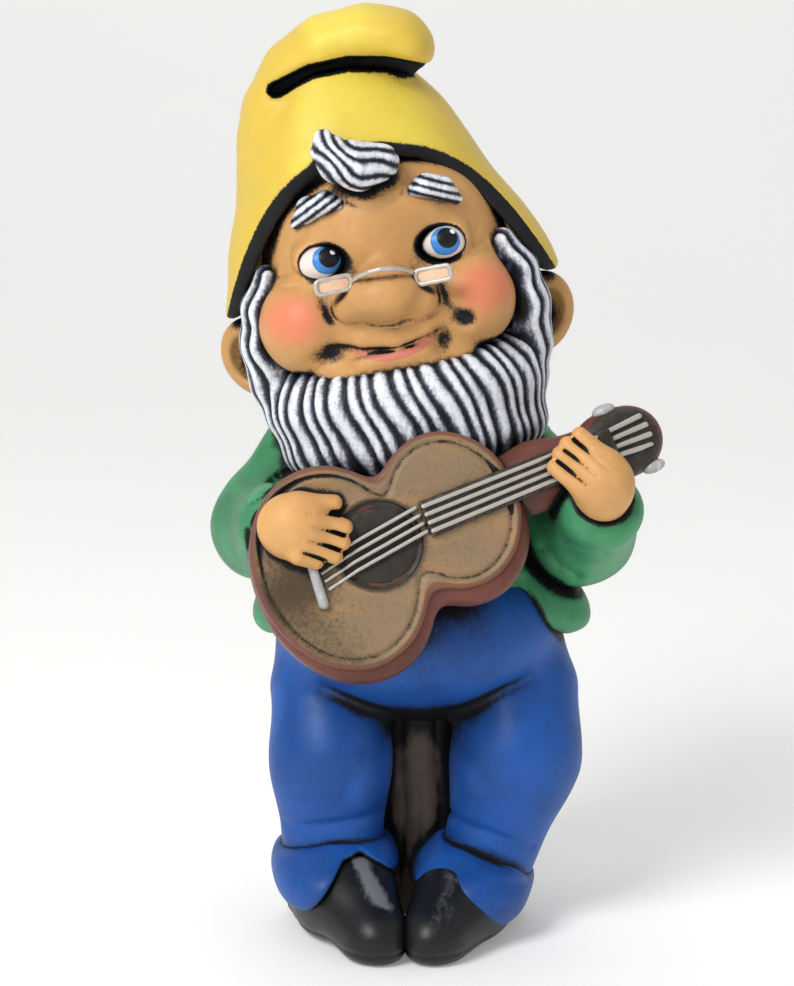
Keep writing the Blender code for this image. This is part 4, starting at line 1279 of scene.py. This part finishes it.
def wood_paint(name, base, shade, light, low=0.5, high=1.0, dark_face=None):
    paint, colour, _ = ceramic(name, base, shade, light, low, high, dry=0.65)
    if dark_face is not None:
        face = paint.step(paint.mask("face"), 0.35, 0.7)
        streak = paint.step(paint.noise(600, 4, 0.75), 0.5, 0.75)
        colour = paint.mix(face, colour, paint.mix(streak, dark_face, tint(dark_face, 3.2)))
    return paint.finish(colour, *paint.gloss)


def shoe_paint(paints):
    """Near-black with grey dragged over the instep and toe."""
    paint = Paint("dry_brushed_black_shoe")
    drag = paint.noise(330, 5, 0.75, stretch=(1, 0.5, 0.5))
    fine = paint.noise(1300, 3, 0.65)
    rubbed = paint.math("ADD", paint.mask("rub"), paint.math("MULTIPLY_ADD", drag, 1.3, -0.72))
    colour = paint.mix(paint.step(fine, 0.4, 0.7), tuple(paints.shoe), tint(paints.shoe, 1.8))
    colour = paint.mix(paint.step(rubbed, 0.1, 0.75, 0, 0.9), colour, tuple(paints.shoe_rub))
    colour, _ = washed_and_shaded(paint, colour, 0.7, 1.2)
    paint.bump(fine, 0.14, 0.0002)
    return paint.finish(colour, paint.math("MULTIPLY_ADD", drag, 0.25, 0.26), 0.0, 0.1)


def shoe_rub(p):
    x, y, z = p
    top = np.clip((z - 4) / 8, 0, 1)
    right = bowl(from_line(x, y, [(-14, -16), (-11, -28), (-6, -38)]), 2.6)
    left = bowl(from_line(x, y, [(17, -20), (8, -42)]), 3.2) * 0.35
    return np.clip(right + left, 0, 1) * top


# ------------------------------------------------------------ sizes and colours a maker would change
def length(name, text, default):
    return FloatProperty(name=name, description=text, default=default, unit="LENGTH")


def colour(name, text, default):
    return bpy.props.FloatVectorProperty(
        name=name, description=text, default=default, subtype="COLOR", size=3, min=0, max=1
    )


class GnomeSizes(bpy.types.PropertyGroup):
    # how much dark wash and painted shade the hollows take
    wash: FloatProperty(
        name="Wash",
        description="How much dark wash stays in the hollows",
        default=1.0,
        min=0,
        subtype="FACTOR",
    )
    floor_radius: length("Floor", "Half the width of the pale floor", 3.0)
    camera_distance: length("Camera distance", "Level distance from the figure to the camera", 0.75)
    camera_height: length("Camera height", "Height of the camera above the floor", 0.245)
    target_height: length("Aim height", "Height that the camera looks at", 0.12)


class GnomePaints(bpy.types.PropertyGroup):
    hat: colour("Hat", "Bright yellow of the cap", (0.85, 0.66, 0.09))
    hat_edge: colour("Hat edge", "Deeper yellow brushed on the cap's sides", (0.66, 0.43, 0.06))
    skin: colour("Skin", "Tan of the face and hands", (0.66, 0.35, 0.125))
    blush: colour("Blush", "Rosy paint on the cheeks", (0.76, 0.22, 0.12))
    lips: colour("Lips", "Pink of the lower lip", (0.62, 0.19, 0.14))
    hair: colour("Hair", "White dragged over the hair", (0.84, 0.87, 0.94))
    hair_ground: colour("Hair ground", "Navy under the hair", (0.05, 0.055, 0.10))
    eye: colour("Eye white", "Off-white of the eyes", (0.82, 0.75, 0.69))
    iris: colour("Iris", "Blue of the eyes", (0.05, 0.27, 0.72))
    lens: colour("Lens", "Pale pink of the lenses", (0.85, 0.55, 0.38))
    silver: colour("Silver", "Silver of rims and strings", (0.50, 0.47, 0.43))
    jacket: colour("Jacket", "Green of the coat", (0.06, 0.30, 0.13))
    trousers: colour("Trousers", "Blue of the trousers", (0.012, 0.095, 0.40))
    shoe: colour("Shoe", "Near black of the shoes", (0.008, 0.0085, 0.010))
    shoe_rub: colour("Shoe rub", "Grey dragged over the shoes", (0.20, 0.215, 0.23))
    stump: colour("Stump", "Grey brown of the tree stump", (0.14, 0.105, 0.082))
    board: colour("Soundboard", "Tan of the guitar's top", (0.27, 0.185, 0.105))
    board_warm: colour("Soundboard streaks", "Warmer streaks on the top", (0.37, 0.215, 0.10))
    rim: colour("Guitar rim", "Red brown of the guitar's sides", (0.17, 0.052, 0.036))
    hole: colour("Sound hole", "Dark brown inside the sound hole", (0.042, 0.036, 0.03))
    stage: colour("Floor", "Pale floor and backdrop", (0.95, 0.95, 0.935))


def sizes():
    return bpy.context.scene.gnome_sizes


def paints():
    return bpy.context.scene.gnome_paints


# ------------------------------------------------------------ operators
class GNOME_OT_hat(bpy.types.Operator):
    """Models the cap with its folded peak and paints it yellow"""

    bl_idname = "gnome.hat"
    bl_label = "Cap"

    def execute(self, context):
        c = paints()
        paint, colour, cover = ceramic(
            "yellow_cap", tuple(c.hat), tint(c.hat, 0.92), tint(c.hat, 1.1), 0.7, 1.25, dry=0.4, grain=0.9
        )
        patchy = paint.around(paint.noise(45, 4, 0.6), 0.7)
        warm = paint.step(paint.math("ADD", paint.mask("warm"), patchy), 0.25, 1.0, 0, 0.65)
        colour = paint.mix(paint.math("MULTIPLY", warm, paint.bare(cover)), colour, tuple(c.hat_edge))
        material = paint.finish(colour, *paint.gloss)

        def warm_sides(p):
            x, _, z = p
            side = np.clip((np.abs(x + 3.5) - 17 + 0.2 * z) / 16, 0, 1) * np.where(x < 0, 1.7, 0.9)
            return side + 0.5 * bowl(z - 63, 6) + 0.35 * bowl(from_line(x, z, SLOT_LINE) - 3.5, 2)

        model("hat", HEAD, (-48, -44, -7), (48, 48, 73), 0.75, hat_clay, "hat_yellow", material,
              soot=hat_soot, warm=warm_sides)
        return {"FINISHED"}


class GNOME_OT_head(bpy.types.Operator):
    """Models the face, nose and ears and paints skin, blush and lips"""

    bl_idname = "gnome.head"
    bl_label = "Head, nose and ears"

    def execute(self, context):
        material = skin_paint(paints())
        masks = dict(soot=face_soot, blush=blush_mask, lip=lip_mask)
        model("head", HEAD, (-38, -37, -32), (38, 34, 44), 0.5, head_clay, "skin", material, **masks)
        model("nose", HEAD, (-16, -47, -9), (16, -24, 9), 0.4, nose_piece, "skin", material, **masks)
        for side, s in (("right", -1), ("left", 1)):
            low, high = sorted((29 * s, 50 * s))
            model(side + "_ear", HEAD, (low, -4, -27), (high, 12, 0), 0.45, ear_clay(s), "skin", material,
                  soot=ear_soot(s))
        return {"FINISHED"}


class GNOME_OT_hair(bpy.types.Operator):
    """Models beard, back hair, forelock and eyebrows as combed strands"""

    bl_idname = "gnome.hair"
    bl_label = "Beard, hair and eyebrows"

    def execute(self, context):
        material = hair_paint(paints())
        model("beard", HEAD, (-41, -41, -52), (41, 12, 18), 0.55, beard_clay, "hair_white", material,
              strand=beard_strand)
        model("back_hair", HEAD, (-40, 0, -40), (40, 41, 8), 0.6, back_clay, "hair_white", material,
              strand=back_strand)
        model("forelock", HEAD, (-17, -43, 25), (11, -25, 48), 0.35, lock_clay, "hair_white", material,
              strand=lock_strand)
        for side in BROW_POINTS:
            low = np.min(BROW_POINTS[side], axis=0) - 4
            high = np.max(BROW_POINTS[side], axis=0) + 4
            model(side + "_eyebrow", HEAD, low, high, 0.3, brow_clay(side), "hair_white", material,
                  strand=brow_strand(side))
        return {"FINISHED"}


class GNOME_OT_eyes(bpy.types.Operator):
    """Models the eyeballs and paints iris, pupil and glint"""

    bl_idname = "gnome.eyes"
    bl_label = "Eyes"

    def execute(self, context):
        for side, centre in EYE_PLACES.items():
            low, high = np.array(centre) - 7.5, np.array(centre) + 7.5
            model(side + "_eye", HEAD, low, high, 0.3, eye_clay(side), "eye_white", eye_paint(paints(), side))
        return {"FINISHED"}


class GNOME_OT_spectacles(bpy.types.Operator):
    """Models the half spectacles: lenses, silver rims and the bow over the nose"""

    bl_idname = "gnome.spectacles"
    bl_label = "Spectacles"

    def execute(self, context):
        c = paints()
        silver = silver_paint("silver_spectacles", tint(c.silver, 1.15), (0.12, 0.11, 0.10), 0.95, 1.8)
        lens = plain_ceramic(
            "pink_lens", tuple(c.lens), tint(c.lens, 0.75), tint(c.lens, 1.15), 0.9, 1.6, rough=0.3, coat=0.2
        )
        for side, (centre, _, _) in LENS_PLACES.items():
            low, high = np.array(centre) - (8, 4, 5), np.array(centre) + (8, 4, 5)
            model(side + "_lens", HEAD, low, high, 0.25, lens_clay(side), "lens_pink", lens)
            model(side + "_lens_rim", HEAD, low, high, 0.25, rim_clay(side), "silver", silver)
        model("spectacle_bow", HEAD, (-10, -46, 2), (10, -34, 11), 0.25, bow_clay, "silver", silver)
        return {"FINISHED"}


class GNOME_OT_jacket(bpy.types.Operator):
    """Models the open jacket and both sleeves and paints them green"""

    bl_idname = "gnome.jacket"
    bl_label = "Jacket and sleeves"

    def execute(self, context):
        c = paints()
        material = plain_ceramic(
            "green_jacket", tuple(c.jacket), tint(c.jacket, 0.62), tint(c.jacket, 1.6), 0.3, 0.95, grain=0.6
        )
        model("jacket", FIGURE, (-46, -34, 72), (54, 38, 150), 0.85, jacket_clay, "jacket_green", material)
        for side, (points, radii, folds, wrist) in (("right", RIGHT_SLEEVE), ("left", LEFT_SLEEVE)):
            low = np.min(points, axis=0) - 17
            high = np.max(points, axis=0) + 17
            model(side + "_sleeve", FIGURE, low, high, 0.7, sleeve_clay(points, radii, folds, wrist),
                  "jacket_green", material)
        return {"FINISHED"}


class GNOME_OT_hands(bpy.types.Operator):
    """Models both hands with their fingers on the guitar"""

    bl_idname = "gnome.hands"
    bl_label = "Hands"

    def execute(self, context):
        c = paints()
        material = plain_ceramic(
            "tan_hands", tint(c.skin, 1.12), tint(c.skin, 0.95), tint(c.skin, 1.4), 0.8, 1.25
        )
        for side, hand in HANDS.items():
            (cx, cz), _, _ = hand["palm"]
            place = {"GUITAR": GUITAR, "NECK": NECK}[hand["place"]]
            middle = np.array(on_guitar(place, cx, cz, FINGER_HEIGHT[hand["place"]]))
            model(side + "_hand", FIGURE, middle - (15, 12, 16), middle + (17, 22, 16), 0.38,
                  hand_clay(side), "skin", material, soot=hand_soot(side))
        return {"FINISHED"}


class GNOME_OT_trousers(bpy.types.Operator):
    """Models the trousers and their turned cuffs and paints them blue"""

    bl_idname = "gnome.trousers"
    bl_label = "Trousers and cuffs"

    def execute(self, context):
        c = paints()
        material = plain_ceramic(
            "blue_trousers", tuple(c.trousers), tint(c.trousers, 0.68), tint(c.trousers, 1.4), 0.25, 1.0,
            grain=0.6,
        )
        model("trousers", FIGURE, (-40, -38, 11), (50, 34, 101), 0.85, trousers_clay, "trouser_blue",
              material, soot=trousers_soot)
        for side, low, high in (("right", -38, 3), ("left", -3, 38)):
            model(side + "_cuff", FIGURE, (low, -40, 0), (high, 16, 33), 0.6, cuff_clay(side), "trouser_blue",
                  material)
        return {"FINISHED"}


class GNOME_OT_shoes(bpy.types.Operator):
    """Models the shoes and drags grey over them"""

    bl_idname = "gnome.shoes"
    bl_label = "Shoes"

    def execute(self, context):
        material = shoe_paint(paints())
        for side, s in (("right", -1), ("left", 1)):
            low, high = sorted((-1 * s, 36 * s))
            model(side + "_shoe", FIGURE, (low, -50, -2), (high, 17, 27), 0.6, shoe_clay(s), "shoe_black",
                  material, rub=shoe_rub)
        return {"FINISHED"}


class GNOME_OT_stump(bpy.types.Operator):
    """Models the tree stump behind the legs, with bark and the hole underneath"""

    bl_idname = "gnome.stump"
    bl_label = "Tree stump"

    def execute(self, context):
        c = paints()
        material = plain_ceramic(
            "brown_stump", tuple(c.stump), tint(c.stump, 0.5), tint(c.stump, 1.5), 0.5, 1.1, dry=0.7
        )
        model("stump", FIGURE, (-19, -7, -2), (27, 39, 64), 0.65, stump_clay, "stump_brown", material,
              soot=stump_soot)
        return {"FINISHED"}


class GNOME_OT_guitar(bpy.types.Operator):
    """Models the guitar's body, soundboard, sound hole, neck and headstock"""

    bl_idname = "gnome.guitar"
    bl_label = "Guitar"

    def execute(self, context):
        c = paints()
        side = wood_paint("red_brown_guitar", tuple(c.rim), tint(c.rim, 0.6), tint(c.rim, 1.5), 0.55, 1.1)
        head = wood_paint(
            "red_brown_headstock", tuple(c.rim), tint(c.rim, 0.6), tint(c.rim, 1.5), 0.6, 1.2,
            dark_face=tint(c.hole, 0.7),
        )
        hole = wood_paint("dark_sound_hole", tuple(c.hole), tint(c.hole, 0.6), tint(c.hole, 2.6), 0.9, 1.5)
        model("guitar_body", GUITAR, (-38, -9, -36), (39, 10, 28), 0.6, guitar_body_clay, "guitar_side", side)
        model("soundboard", GUITAR, (-36, -10.5, -30), (37, -2, 26), 0.42, soundboard_clay, "guitar_top",
              guitar_top_paint(c), soot=guitar_soot, shade=board_shade,
              rim=lambda p: np.clip((guitar_outline(p[0], p[2]) + 1.6) / 1.6, 0, 1))
        model("sound_hole_disc", GUITAR, (-16, -9.5, -15), (12, -4, 13), 0.35, hole_floor_clay,
              "sound_hole", hole)
        model("guitar_neck", NECK, (10, -10, -12), (72, 12, 12), 0.6, neck_clay, "guitar_side", side)
        model("headstock", NECK, (50, -10, -12), (78, 6, 12), 0.45, headstock_clay, "guitar_side", head,
              face=face_of_headstock)
        return {"FINISHED"}


class GNOME_OT_strings(bpy.types.Operator):
    """Models bridge, fretboard, strings and tuning pegs and rubs silver over them"""

    bl_idname = "gnome.strings"
    bl_label = "Strings and fittings"

    def execute(self, context):
        c = paints()
        silver = silver_paint("silver_strings", tuple(c.silver), (0.07, 0.06, 0.05), 1.0, 1.9)
        white = silver_paint("white_bridge", (0.80, 0.80, 0.80), (0.42, 0.42, 0.42), 1.3, 2.0)
        board = silver_paint("dark_fretboard", (0.17, 0.12, 0.09), (0.03, 0.025, 0.022), 0.9, 1.6)
        for k in range(STRING_COUNT):
            model(f"string_{k + 1}", GUITAR, (-20, -14, -9), (75, -4, 15), 0.32, string_clay(k),
                  "silver", silver)
        model("guitar_bridge", GUITAR, (-24, -12, -11), (-16, -7, 6), 0.3, bridge_clay, "silver", white)
        model("fretboard", NECK, (9, -12, -7), (63, -6, 7), 0.45, fretboard_clay, "sound_hole", board)
        for name, centre in (("upper_tuning_peg", (63.5, -4, 8.6)), ("lower_tuning_peg", (70, -3.6, -9.0))):
            low, high = np.array(centre) - 5, np.array(centre) + 5
            model(name, NECK, low, high, 0.35, peg_clay(centre), "silver", white)
        return {"FINISHED"}


class GNOME_OT_wash_and_shade(bpy.types.Operator):
    """Rubs the dark wash and painted shade into every hollow and seam"""

    bl_idname = "gnome.wash"
    bl_label = "Dark wash"

    def execute(self, context):
        rub_wash_and_shade(sizes().wash)
        return {"FINISHED"}


LIGHTS = {  # place and aim in metres, width in metres, power in watts
    "key_light": ((-0.55, -0.75, 0.85), (0, 0, 0.12), 0.55, 9.4),
    "fill_light": ((0.9, -0.7, 0.5), (0, 0, 0.12), 0.9, 0.5),
    "top_light": ((0.0, 0.25, 1.2), (0, 0, 0.1), 0.8, 1.6),
}
ROOM_LIGHT = 0.42
FLOOR_GLOW = 0.17
CAMERA_LENS, CAMERA_SENSOR = 105.8, 36
CAMERA_SHIFT = (-0.0081, -0.0203)


def soft_light(name, place, aim, width, power):
    data = bpy.data.lights.new(name, "AREA")
    data.shape = "DISK"
    data.size = width
    data.energy = power
    light = bpy.data.objects.new(name, data)
    light.location = place
    light.rotation_euler = (Vector(aim) - Vector(place)).to_track_quat("-Z", "Y").to_euler()
    bpy.context.scene.collection.objects.link(light)


def stage_paint(colour):
    paint = Paint("pale_stage")
    cloud = paint.step(paint.noise(2.5, 2, 0.5), 0.35, 0.65)
    paint.shader.inputs["Emission Color"].default_value = (1, 1, 0.985, 1)
    paint.shader.inputs["Emission Strength"].default_value = FLOOR_GLOW
    return paint.finish(paint.mix(cloud, tuple(colour), tint(colour, 0.985)), 0.9)


def sweep_backdrop(radius):
    """A floor that curves up behind the figure."""
    behind, rise, bend, segments = 0.9, 1.6, 0.5, 12
    rows = [(-radius, 0.0), (behind, 0.0)]
    for k in range(1, segments + 1):
        a = k / segments * math.pi / 2
        rows.append((behind + bend * math.sin(a), bend - bend * math.cos(a)))
    rows.append((behind + bend, rise))
    verts = [(x, y, z) for y, z in rows for x in (-radius, radius)]
    faces = [(2 * k, 2 * k + 1, 2 * k + 3, 2 * k + 2) for k in range(len(rows) - 1)]
    mesh = bpy.data.meshes.new("pale_floor")
    mesh.from_pydata(verts, [], faces)
    mesh.shade_smooth()
    floor = bpy.data.objects.new("pale_floor", mesh)
    bpy.context.scene.collection.objects.link(floor)
    return floor


class GNOME_OT_stage(bpy.types.Operator):
    """Sets the pale floor, the soft lights and the camera"""

    bl_idname = "gnome.stage"
    bl_label = "Floor, lights and camera"

    def execute(self, context):
        s, c, scene = sizes(), paints(), context.scene
        floor = sweep_backdrop(s.floor_radius)
        floor.data.materials.append(stage_paint(c.stage))
        for name, values in LIGHTS.items():
            soft_light(name, *values)
        world = bpy.data.worlds.new("studio")
        world.use_nodes = True
        background = world.node_tree.nodes["Background"]
        background.inputs["Color"].default_value = (1, 1, 1, 1)
        background.inputs["Strength"].default_value = ROOM_LIGHT
        scene.world = world
        scene.view_settings.view_transform = "Standard"
        data = bpy.data.cameras.new("camera")
        data.lens, data.sensor_width = CAMERA_LENS, CAMERA_SENSOR
        data.shift_x, data.shift_y = CAMERA_SHIFT
        camera = bpy.data.objects.new("camera", data)
        middle = Vector((SHIFT[0] * MM, SHIFT[1] * MM, 0))
        camera.location = middle + Vector((0, -s.camera_distance, s.camera_height))
        aim = middle + Vector((0, 0, s.target_height))
        camera.rotation_euler = (aim - camera.location).to_track_quat("-Z", "Y").to_euler()
        scene.collection.objects.link(camera)
        scene.camera = camera
        return {"FINISHED"}


PIECES = ["hat", "head", "hair", "eyes", "spectacles", "jacket", "hands", "trousers", "shoes", "stump",
          "guitar", "strings", "wash", "stage"]


class GNOME_PT_panel(bpy.types.Panel):
    """Buttons for each piece, with the sizes and colours above them"""

    bl_label = "Garden gnome"
    bl_idname = "GNOME_PT_panel"
    bl_space_type = "VIEW_3D"
    bl_region_type = "UI"
    bl_category = "Gnome"

    def draw(self, context):
        layout = self.layout
        for group in (context.scene.gnome_sizes, context.scene.gnome_paints):
            for key in group.__annotations__:
                layout.prop(group, key)
        for piece in PIECES:
            layout.operator("gnome." + piece)


CLASSES = (
    GnomeSizes,
    GnomePaints,
    GNOME_OT_hat,
    GNOME_OT_head,
    GNOME_OT_hair,
    GNOME_OT_eyes,
    GNOME_OT_spectacles,
    GNOME_OT_jacket,
    GNOME_OT_hands,
    GNOME_OT_trousers,
    GNOME_OT_shoes,
    GNOME_OT_stump,
    GNOME_OT_guitar,
    GNOME_OT_strings,
    GNOME_OT_wash_and_shade,
    GNOME_OT_stage,
    GNOME_PT_panel,
)


def register():
    for cls in CLASSES:
        bpy.utils.register_class(cls)
    bpy.types.Scene.gnome_sizes = PointerProperty(type=GnomeSizes)
    bpy.types.Scene.gnome_paints = PointerProperty(type=GnomePaints)


def unregister():
    del bpy.types.Scene.gnome_paints
    del bpy.types.Scene.gnome_sizes
    for cls in reversed(CLASSES):
        bpy.utils.unregister_class(cls)


def main():
    register()
    for piece in PIECES:
        getattr(bpy.ops.gnome, piece)()


if __name__ == "__main__":
    main()
